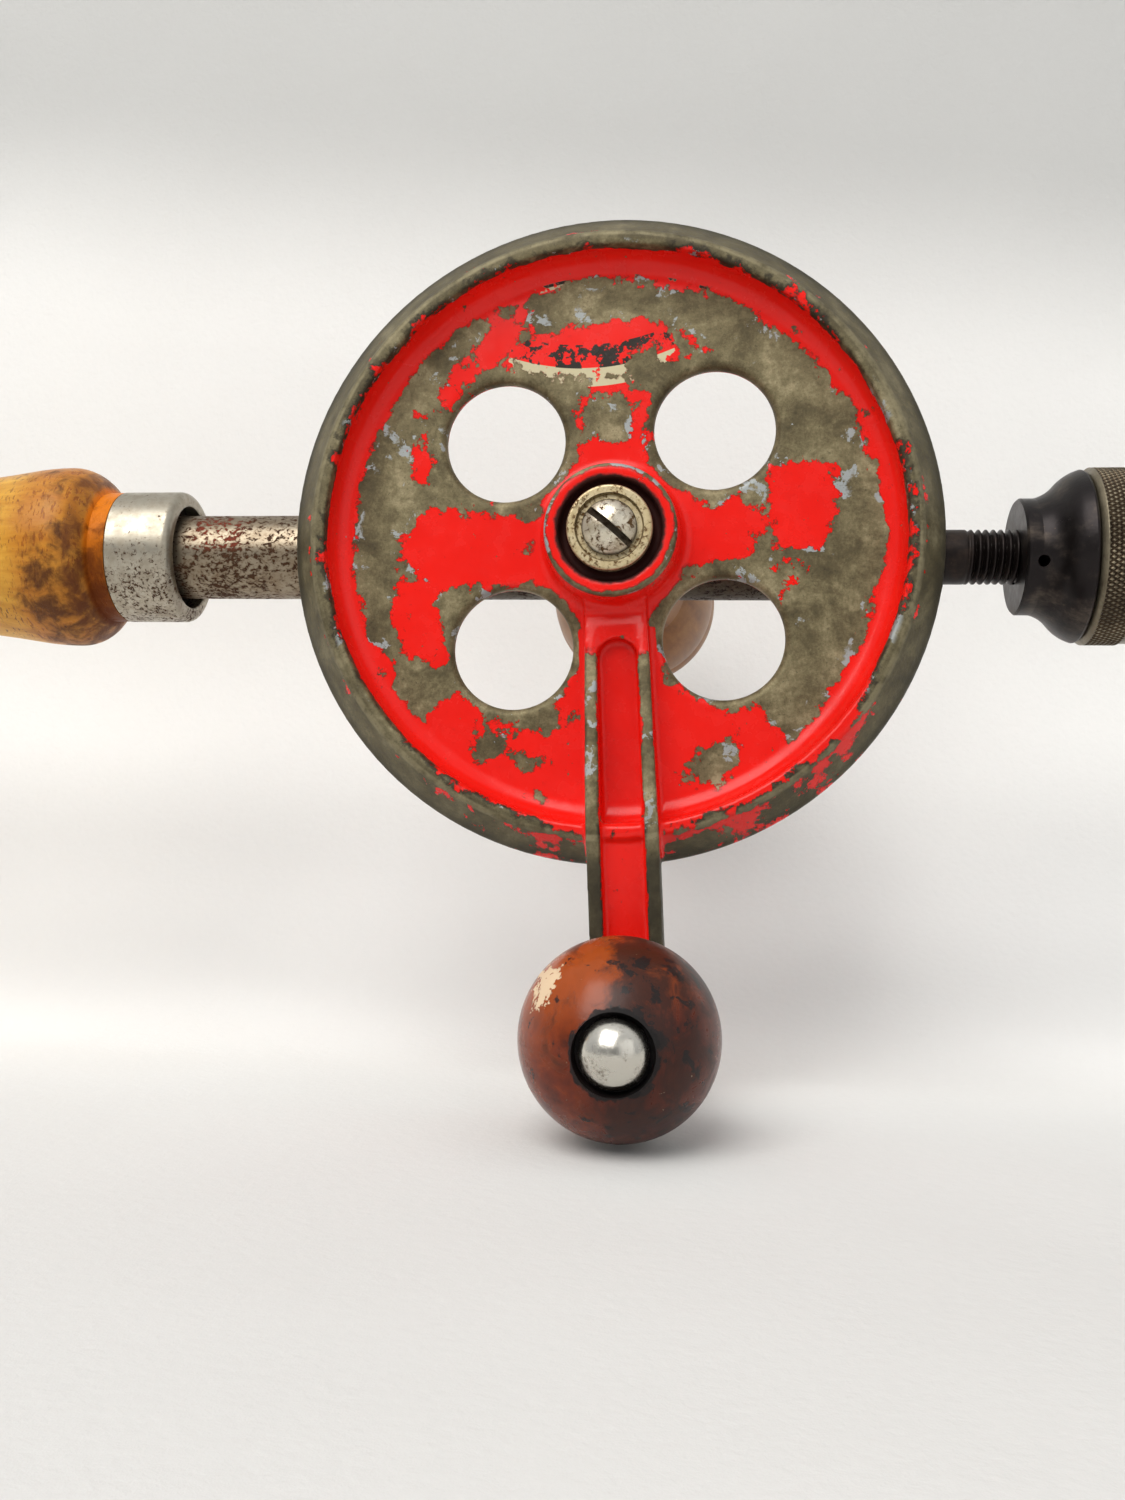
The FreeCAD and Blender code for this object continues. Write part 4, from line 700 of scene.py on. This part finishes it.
def side_wood():
    """Plain brown turned wood for the side handle, its tones darkened as painted shade, and dirtier near its
    root.
    """
    m = Shader("side_wood", (AXLE_X, 0, 0))
    grain = m.noise(2.4, 6.0, 0.6, vector=m.stretched((1, 0.16, 1)), twist=0.5, seed=2.7)
    broad = m.noise(10.0, 4.0, 0.5, vector=m.stretched((1, 0.5, 1)), seed=4.0)
    # painted shade: the tones are darkened for the shadow the handle sits in behind the wheel
    tones = ((0.30, (0.100, 0.034, 0.007)), (0.45, (0.21, 0.082, 0.018)), (0.62, (0.31, 0.138, 0.034)),
             (0.85, (0.42, 0.22, 0.070)))
    brown = m.colours(m.add(m.times(grain, 0.6), m.times(broad, 0.42)), tones)
    grime = m.fade(m.add(m.noise(5.0, 6.0, 0.65, seed=6.0), m.fade(m.y, 26.0, 12.0, 0.0, 0.2)), 0.60, 0.82)
    colour = m.mix(m.times(grime, 0.8), brown, SIDE_GRIME)
    relief = m.add(m.times(grain, 0.4), m.times(broad, 0.3))
    return m.finish(Base_Color=colour, Roughness=m.add(0.36, m.times(grime, 0.2)),
                    Specular_IOR_Level=0.3, Normal=m.bump(relief, 0.07))


def plain_metal(name, colour, other, rough, size=3.0):
    """Machined metal with fine tool marks and a little staining."""
    m = Shader(name, (AXLE_X, 0, 0))
    cloud = m.noise(size, 5.0, 0.6, seed=3.1)
    marks = m.noise(0.3, 3.0, 0.6, seed=6.4)
    dirt = m.fade(m.add(cloud, m.times(m.less(m.noise(size / 5, 4.0, 0.7), 0.5), 0.6)), 0.52, 0.72)
    return m.finish(Base_Color=m.mix(dirt, colour, other), Metallic=1.0,
                    Roughness=m.fade(cloud, 0.3, 0.7, rough, rough + 0.18),
                    Normal=m.bump(m.add(m.times(marks, 0.3), m.times(dirt, 0.3)), 0.04))


# ---------------------------------------------------------------- geometry

def shade_smooth(obj):
    """Smooth shading on every face."""
    for face in obj.data.polygons:
        face.use_smooth = True


def assign(obj, material):
    """Gives the object this material alone."""
    obj.data.materials.clear()
    obj.data.materials.append(material)


def soften(obj, cell, passes):
    """Rounds every edge of a cast piece, as a mould does. cell is the remesh's step in millimetres."""
    remesh = obj.modifiers.new("cast_skin", "REMESH")
    remesh.mode = "VOXEL"
    remesh.voxel_size = cell * MM
    remesh.use_smooth_shade = True
    smooth = obj.modifiers.new("cast_rounding", "SMOOTH")
    smooth.factor = 0.5
    smooth.iterations = passes


def mesh_object(name, corners, faces):
    """New object from corners in metres and faces as rows of corner numbers."""
    mesh = bpy.data.meshes.new(name)
    mesh.from_pydata(corners, [], faces)
    mesh.update()
    obj = bpy.data.objects.new(name, mesh)
    bpy.context.scene.collection.objects.link(obj)
    return obj


def lathe(name, rings, count, radius_at=None):
    """Closed skin turned about the X axis, whose first and last rings meet.

    rings are (along, radius) in millimetres from the axle crossing. radius_at(along, radius, angle) may
    change a ring's radius round its turn."""
    corners = []
    for along, radius in rings:
        for step in range(count):
            angle = 2 * math.pi * step / count
            reach = radius_at(along, radius, angle) if radius_at else radius
            corners.append((AXLE_X + along * MM, reach * math.sin(angle) * MM, reach * math.cos(angle) * MM))
    faces = []
    for ring in range(len(rings)):
        after = (ring + 1) % len(rings)
        for step in range(count):
            beside = (step + 1) % count
            here, there = ring * count, after * count
            faces.append((here + step, here + beside, there + beside, there + step))
    return mesh_object(name, corners, faces)


def close_ends(obj, first_ring, last_ring, count):
    """Removes the skin between the last ring and the first and caps both with discs."""
    mesh = bmesh.new()
    mesh.from_mesh(obj.data)
    mesh.verts.ensure_lookup_table()
    mesh.faces.ensure_lookup_table()
    bmesh.ops.delete(mesh, geom=mesh.faces[-count:], context="FACES_ONLY")
    mesh.verts.ensure_lookup_table()
    mesh.faces.new([mesh.verts[first_ring * count + step] for step in range(count)])
    mesh.faces.new([mesh.verts[last_ring * count + step] for step in reversed(range(count))])
    bmesh.ops.recalc_face_normals(mesh, faces=mesh.faces)
    mesh.to_mesh(obj.data)
    mesh.free()


def stations(start, stop, step):
    """Evenly spaced places from start to stop, about step apart."""
    count = max(1, round((stop - start) / step))
    return [start + (stop - start) * number / count for number in range(count + 1)]


def triangle_wave(value):
    """1 at whole numbers, falling straight to 0 halfway between them."""
    return abs(2 * (value - math.floor(value)) - 1)


def knurl(along, radius, angle):
    """Crossed spiral grooves on the raised band."""
    start = SLEEVE_BACK + KNURL_START
    stop = SLEEVE_BACK + BAND_LENGTH - KNURL_MARGIN
    if not start <= along <= stop or radius < BAND_RADIUS - 0.01:
        return radius
    pitch = 2 * math.pi * BAND_RADIUS / KNURL_COUNT
    round_turn = angle * KNURL_COUNT / (2 * math.pi)
    one = triangle_wave(round_turn + along / pitch * KNURL_LEAN)
    other = triangle_wave(round_turn - along / pitch * KNURL_LEAN)
    height = min(1.0, min(one, other) * KNURL_FLATNESS)
    fade = min(1.0, (along - start) / KNURL_RUN_OUT, (stop - along) / KNURL_RUN_OUT)
    return radius - KNURL_DEPTH * (1 - height) * fade


def build_sleeve():
    """Chuck sleeve with a real diamond knurl."""
    back, front = SLEEVE_BACK, SLEEVE_FRONT
    barrel_end = back + BAND_LENGTH + BARREL_LENGTH
    bore_step = back + COUNTERBORE_DEPTH
    curve_steps = 12
    # rear face, knurled band, straight barrel
    rings = [(back, SLEEVE_BORE), (back, BAND_RADIUS - 0.9), (back + 0.05, BAND_RADIUS - BAND_BEVEL)]
    rings += [(back + 0.62, BAND_RADIUS - 0.06), (back + 0.72, BAND_RADIUS)]
    rings += [(along, BAND_RADIUS) for along in stations(back + 0.8, back + BAND_LENGTH - 0.3, 0.085)]
    rings += [(back + BAND_LENGTH - 0.15, BAND_RADIUS - 0.08), (back + BAND_LENGTH, SLEEVE_RADIUS)]
    rings += [(back + BAND_LENGTH + 0.1, SLEEVE_RADIUS), (barrel_end, SLEEVE_RADIUS)]
    # curve down to the nose, then the bore back to the start
    for part in range(1, curve_steps + 1):
        share = part / curve_steps
        drop = (SLEEVE_RADIUS - NOSE_RADIUS) * (0.45 * share + 0.55 * share ** 2)
        rings.append((barrel_end + share * (front - 0.5 - barrel_end), SLEEVE_RADIUS - drop))
    rings += [(front - 0.15, NOSE_RADIUS - 0.15), (front, NOSE_RADIUS - 0.5), (front, NOSE_RADIUS - 0.9)]
    rings += [(bore_step, BAND_RADIUS - 2.9), (bore_step, SLEEVE_BORE)]
    sleeve = lathe("sleeve_knurled", rings, KNURL_COUNT * 6, knurl)
    shade_by_angle(sleeve, 40)
    assign(sleeve, knurled_steel())
    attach(sleeve, "sleeve")
    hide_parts("chuck_sleeve")


def shade_by_angle(obj, degrees):
    """Smooth shading, with every edge sharper than degrees left hard."""
    shade_smooth(obj)
    mesh = bmesh.new()
    mesh.from_mesh(obj.data)
    for edge in mesh.edges:
        if len(edge.link_faces) == 2 and edge.calc_face_angle(0) > math.radians(degrees):
            edge.smooth = False
    mesh.to_mesh(obj.data)
    mesh.free()


def thread(along, radius, angle):
    """One right-handed spiral groove with a short run-out."""
    if not THREAD_START <= along <= THREAD_END:
        return radius
    turn = (along - THREAD_START) / THREAD_PITCH - angle / (2 * math.pi)
    height = min(1.0, triangle_wave(turn) * THREAD_FLATNESS)
    fade = min(1.0, (along - THREAD_START) / THREAD_PITCH)
    return radius - THREAD_DEPTH * (1 - height) * fade


def build_spindle():
    """Spindle with a real spiral thread."""
    rear_bevel = 0.4
    front_bevel = 0.6
    plain_length = (20.0, 40.0, 46.7, 48.0, 49.6)
    rings = [(SPINDLE_REAR, SPINDLE_RADIUS - rear_bevel), (SPINDLE_REAR + rear_bevel, SPINDLE_RADIUS)]
    rings += [(along, SPINDLE_RADIUS) for along in plain_length]
    rings += [(along, SPINDLE_RADIUS) for along in stations(THREAD_START, THREAD_END, 0.06)]
    rings += [(SPINDLE_FRONT - front_bevel, SPINDLE_RADIUS), (SPINDLE_FRONT, SPINDLE_RADIUS - front_bevel)]
    count = 96
    spindle = lathe("spindle_threaded", rings, count, thread)
    close_ends(spindle, 0, len(rings) - 1, count)
    shade_by_angle(spindle, 50)
    oxide = dark_oxide("spindle_oxide", (0.2, 1, 1), (0.013, 0.009, 0.008), (0.062, 0.040, 0.028), 0.32)
    assign(spindle, oxide)
    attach(spindle, "spindle")
    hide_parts("spindle")


# ---------------------------------------------------------------- dress the CAD pieces

def plated_materials():
    """Materials of the four plated pieces, by node."""
    return {
        "frame_tube": pitted_metal("tube_nickel", bright=(0.29, 0.245, 0.18), tint=(0.20, 0.14, 0.085),
                                   rust=RUST, amount=0.435, size=0.62, rough=0.34, stretch=(0.75, 1, 1),
                                   low_side=0.02, patch=(-60.0, 6.0, 0.05), wheel_shade_from=-44.0),
        "ferrule": pitted_metal("ferrule_steel", bright=(0.42, 0.385, 0.315), tint=(0.27, 0.23, 0.17),
                                rust=RUST, amount=0.325, size=0.50, rough=0.30, low_side=0.11),
        "axle_washer": pitted_metal("washer_nickel", bright=(0.58, 0.49, 0.31), tint=(0.36, 0.27, 0.13),
                                    rust=((0.07, 0.035, 0.012), (0.2, 0.11, 0.04)),
                                    amount=0.43, size=0.5, rough=0.38),
        "axle_screw": pitted_metal("screw_nickel", bright=(0.66, 0.61, 0.50), tint=(0.33, 0.24, 0.12),
                                   rust=((0.030, 0.016, 0.008), (0.14, 0.08, 0.03)),
                                   amount=0.43, size=0.9, rough=0.25, shade_behind=-22.5),
    }


def dress_parts():
    """Gives every CAD piece its material."""
    soften(PARTS["crank_wheel"], cell=0.34, passes=2)
    materials = {"crank_wheel": wheel_paint()}
    materials.update(plated_materials())
    materials["main_handle"] = handle_wood()
    materials["side_handle"] = side_wood()
    materials["crank_knob"] = knob_wood()
    materials["knob_pin"] = plain_metal("knob_pin_chrome", (0.60, 0.575, 0.51), (0.13, 0.10, 0.07), 0.16, 2.6)
    # the chuck's lighter worn colour is partly wear and partly a painted sheen
    materials["chuck_body"] = dark_oxide("chuck_oxide", (0.15, 1, 1), worn=(0.105, 0.082, 0.064), rough=0.27)
    for name in ("pinion", "spindle_collar"):
        materials[name] = dark_oxide(name + "_oxide", (1, 0.2, 0.2))
    steel = plain_metal("bright_steel", (0.52, 0.51, 0.48), (0.20, 0.15, 0.10), 0.28)
    for name in ("chuck_jaw_1", "chuck_jaw_2", "chuck_jaw_3", "chuck_nut", "thrust_washer", "axle_stud",
                 "saddle_washer", "lock_nut", "knob_washer", "pinion_pin"):
        materials[name] = steel
    bronze = plain_metal("oiled_bronze", (0.42, 0.24, 0.09), (0.12, 0.06, 0.02), 0.35)
    materials["front_bush"] = bronze
    materials["rear_bush"] = bronze
    materials["side_handle_insert"] = plain_metal("dull_brass", (0.55, 0.40, 0.16), (0.20, 0.13, 0.05), 0.4)
    for name, material in materials.items():
        assign(PARTS[name], material)


# ---------------------------------------------------------------- backdrop, light, camera

def paper():
    """Pale paper, seen from its front only so that views from behind aren't blocked."""
    m = Shader("backdrop_paper")
    fold = m.noise(160.0, 3.0, 0.5, seed=3.0)
    fibre = m.noise(1.2, 4.0, 0.6, seed=1.0)
    shades = ((0.3, (0.74, 0.735, 0.72)), (0.7, (0.82, 0.815, 0.795)))
    tone = m.colours(m.add(m.times(fold, 0.7), m.times(fibre, 0.15)), shades)
    # painted light and shade: darker towards the camera, lighter in the sweep to lift the shadows there,
    # darker again up the wall
    near = m.fade(m.y, 30.0, -100.0, 0.0, 0.27)
    tone = m.mix(near, tone, (0.20, 0.20, 0.195))
    sweep_light = m.times(m.band(m.z, -78.0, -58.0, 22.0), m.fade(m.y, -30.0, 30.0))
    tone = m.mix(m.times(sweep_light, 0.40), tone, (0.94, 0.935, 0.92))
    high = m.fade(m.add(m.z, m.times(m.x, 0.10)), 44.0, 98.0, 0.0, 0.50)
    tone = m.mix(high, tone, (0.20, 0.205, 0.20))
    surface = m.new("ShaderNodeBsdfPrincipled")
    m.set(surface.inputs["Base Color"], tone)
    m.set(surface.inputs["Roughness"], 0.9)
    m.set(surface.inputs["Normal"], m.bump(m.add(fold, m.times(fibre, 0.02)), 6.0))
    clear = m.new("ShaderNodeBsdfTransparent")
    sides = m.new("ShaderNodeMixShader")
    m.set(sides.inputs[0], m.new("ShaderNodeNewGeometry").outputs["Backfacing"])
    m.set(sides.inputs[1], surface.outputs[0])
    m.set(sides.inputs[2], clear.outputs[0])
    m.set(m.output.inputs["Surface"], sides.outputs[0])
    return m.material


def build_backdrop():
    """Floor under the drill that sweeps up into a wall, and a floor behind it for views from the back."""
    material = paper()
    floor_gap = 0.0006
    wall_gap = 0.016
    floor_level = CAD_BOUNDS[0][2] - floor_gap
    wall_depth = CAD_BOUNDS[1][1] + wall_gap
    wall_top = 1.4
    far = 1.6
    bend = 0.075
    bend_steps = 24
    outline = [(-far, floor_level), (wall_depth - bend, floor_level)]
    for step in range(1, bend_steps):
        angle = math.pi / 2 * step / bend_steps
        depth = wall_depth - bend + bend * math.sin(angle)
        outline.append((depth, floor_level + bend - bend * math.cos(angle)))
    outline += [(wall_depth, floor_level + bend), (wall_depth, wall_top)]
    # a little lower, so that the two floors never share a plane
    lower_level = floor_level - 0.0002
    behind = [(wall_depth - bend, lower_level), (far, lower_level)]
    for name, profile in (("backdrop", outline), ("floor_behind", behind)):
        corners = [(side * far, depth, level) for depth, level in profile for side in (-1, 1)]
        faces = [(2 * row, 2 * row + 1, 2 * row + 3, 2 * row + 2) for row in range(len(profile) - 1)]
        sheet = mesh_object(name, corners, faces)
        shade_smooth(sheet)
        assign(sheet, material)


def area_light(name, place, target, width, power, colour):
    """Square soft light, width metres across, aimed at target."""
    lamp = bpy.data.lights.new(name, "AREA")
    lamp.shape = "SQUARE"
    lamp.size = width
    lamp.energy = power
    lamp.color = colour
    obj = bpy.data.objects.new(name, lamp)
    bpy.context.scene.collection.objects.link(obj)
    obj.location = place
    obj.rotation_mode = "QUATERNION"
    obj.rotation_quaternion = (Vector(target) - Vector(place)).to_track_quat("-Z", "Y")


def build_world():
    """Bright above, dimmer towards the camera so that flat faces keep their colour."""
    world = bpy.data.worlds.new("studio")
    world.use_nodes = True
    tree = world.node_tree
    background = tree.nodes["Background"]
    split = tree.nodes.new("ShaderNodeSeparateXYZ")
    tree.links.new(tree.nodes.new("ShaderNodeTexCoord").outputs["Generated"], split.inputs[0])

    def strength_along(axis, low, high, start, end):
        """Light's strength, going from start to end as the direction's axis goes from low to high."""
        node = tree.nodes.new("ShaderNodeMapRange")
        tree.links.new(split.outputs[axis], node.inputs["Value"])
        limits = {"From Min": low, "From Max": high, "To Min": start, "To Max": end}
        for key, value in limits.items():
            node.inputs[key].default_value = value
        return node.outputs[0]

    total = tree.nodes.new("ShaderNodeMath")
    tree.links.new(strength_along("Y", -0.9, 0.1, 0.26, 0.72), total.inputs[0])
    tree.links.new(strength_along("Z", 0.1, 0.8, 0.0, 0.2), total.inputs[1])
    tree.links.new(total.outputs[0], background.inputs["Strength"])
    background.inputs["Color"].default_value = (0.97, 0.98, 1.0, 1)
    # beyond the paper's edges the camera sees a plain pale grey
    seen = tree.nodes.new("ShaderNodeBackground")
    seen.inputs["Color"].default_value = (0.60, 0.60, 0.585, 1)
    choice = tree.nodes.new("ShaderNodeMixShader")
    tree.links.new(tree.nodes.new("ShaderNodeLightPath").outputs["Is Camera Ray"], choice.inputs[0])
    tree.links.new(background.outputs[0], choice.inputs[1])
    tree.links.new(seen.outputs[0], choice.inputs[2])
    tree.links.new(choice.outputs[0], tree.nodes["World Output"].inputs["Surface"])
    bpy.context.scene.world = world


def build_light():
    """Key light from the upper left, a weak fill from the right, and one behind for the far side."""
    centre = (AXLE_X, 0, 0)
    area_light("key", (AXLE_X - 0.30, -0.72, 0.80), centre, width=0.85, power=12.0,
               colour=(1.0, 0.985, 0.955))
    area_light("fill", (AXLE_X + 0.8, -0.9, 0.35), centre, width=1.0, power=1.9, colour=(1.0, 0.99, 0.98))
    area_light("back", (AXLE_X + 0.5, 0.9, 0.7), centre, width=0.8, power=3.5, colour=(1.0, 1.0, 1.0))
    build_world()


# The camera's place in metres from the axle crossing, and its turns about X, Y and Z in degrees.
CAMERA_PLACE = (0.01312, -0.19987, -0.03741)
CAMERA_TURNS = (92.41, -1.09, 5.99)
SENSOR_WIDTH = 36
FOCAL_LENGTH = 32.33


def build_camera():
    """Phone camera held nearly square to the wheel, a little below its hub and to the right."""
    lens = bpy.data.cameras.new("camera")
    lens.sensor_fit = "AUTO"
    lens.sensor_width = SENSOR_WIDTH
    lens.lens = FOCAL_LENGTH
    lens.clip_start = 0.01
    lens.clip_end = 10
    obj = bpy.data.objects.new("camera", lens)
    bpy.context.scene.collection.objects.link(obj)
    obj.location = Vector((AXLE_X, 0, 0)) + Vector(CAMERA_PLACE)
    obj.rotation_euler = [math.radians(turn) for turn in CAMERA_TURNS]
    bpy.context.scene.camera = obj


dress_parts()
build_sleeve()
build_spindle()
build_backdrop()
build_light()
build_camera()
bpy.context.scene.view_settings.view_transform = "Standard"

bpy.context.view_layer.update()
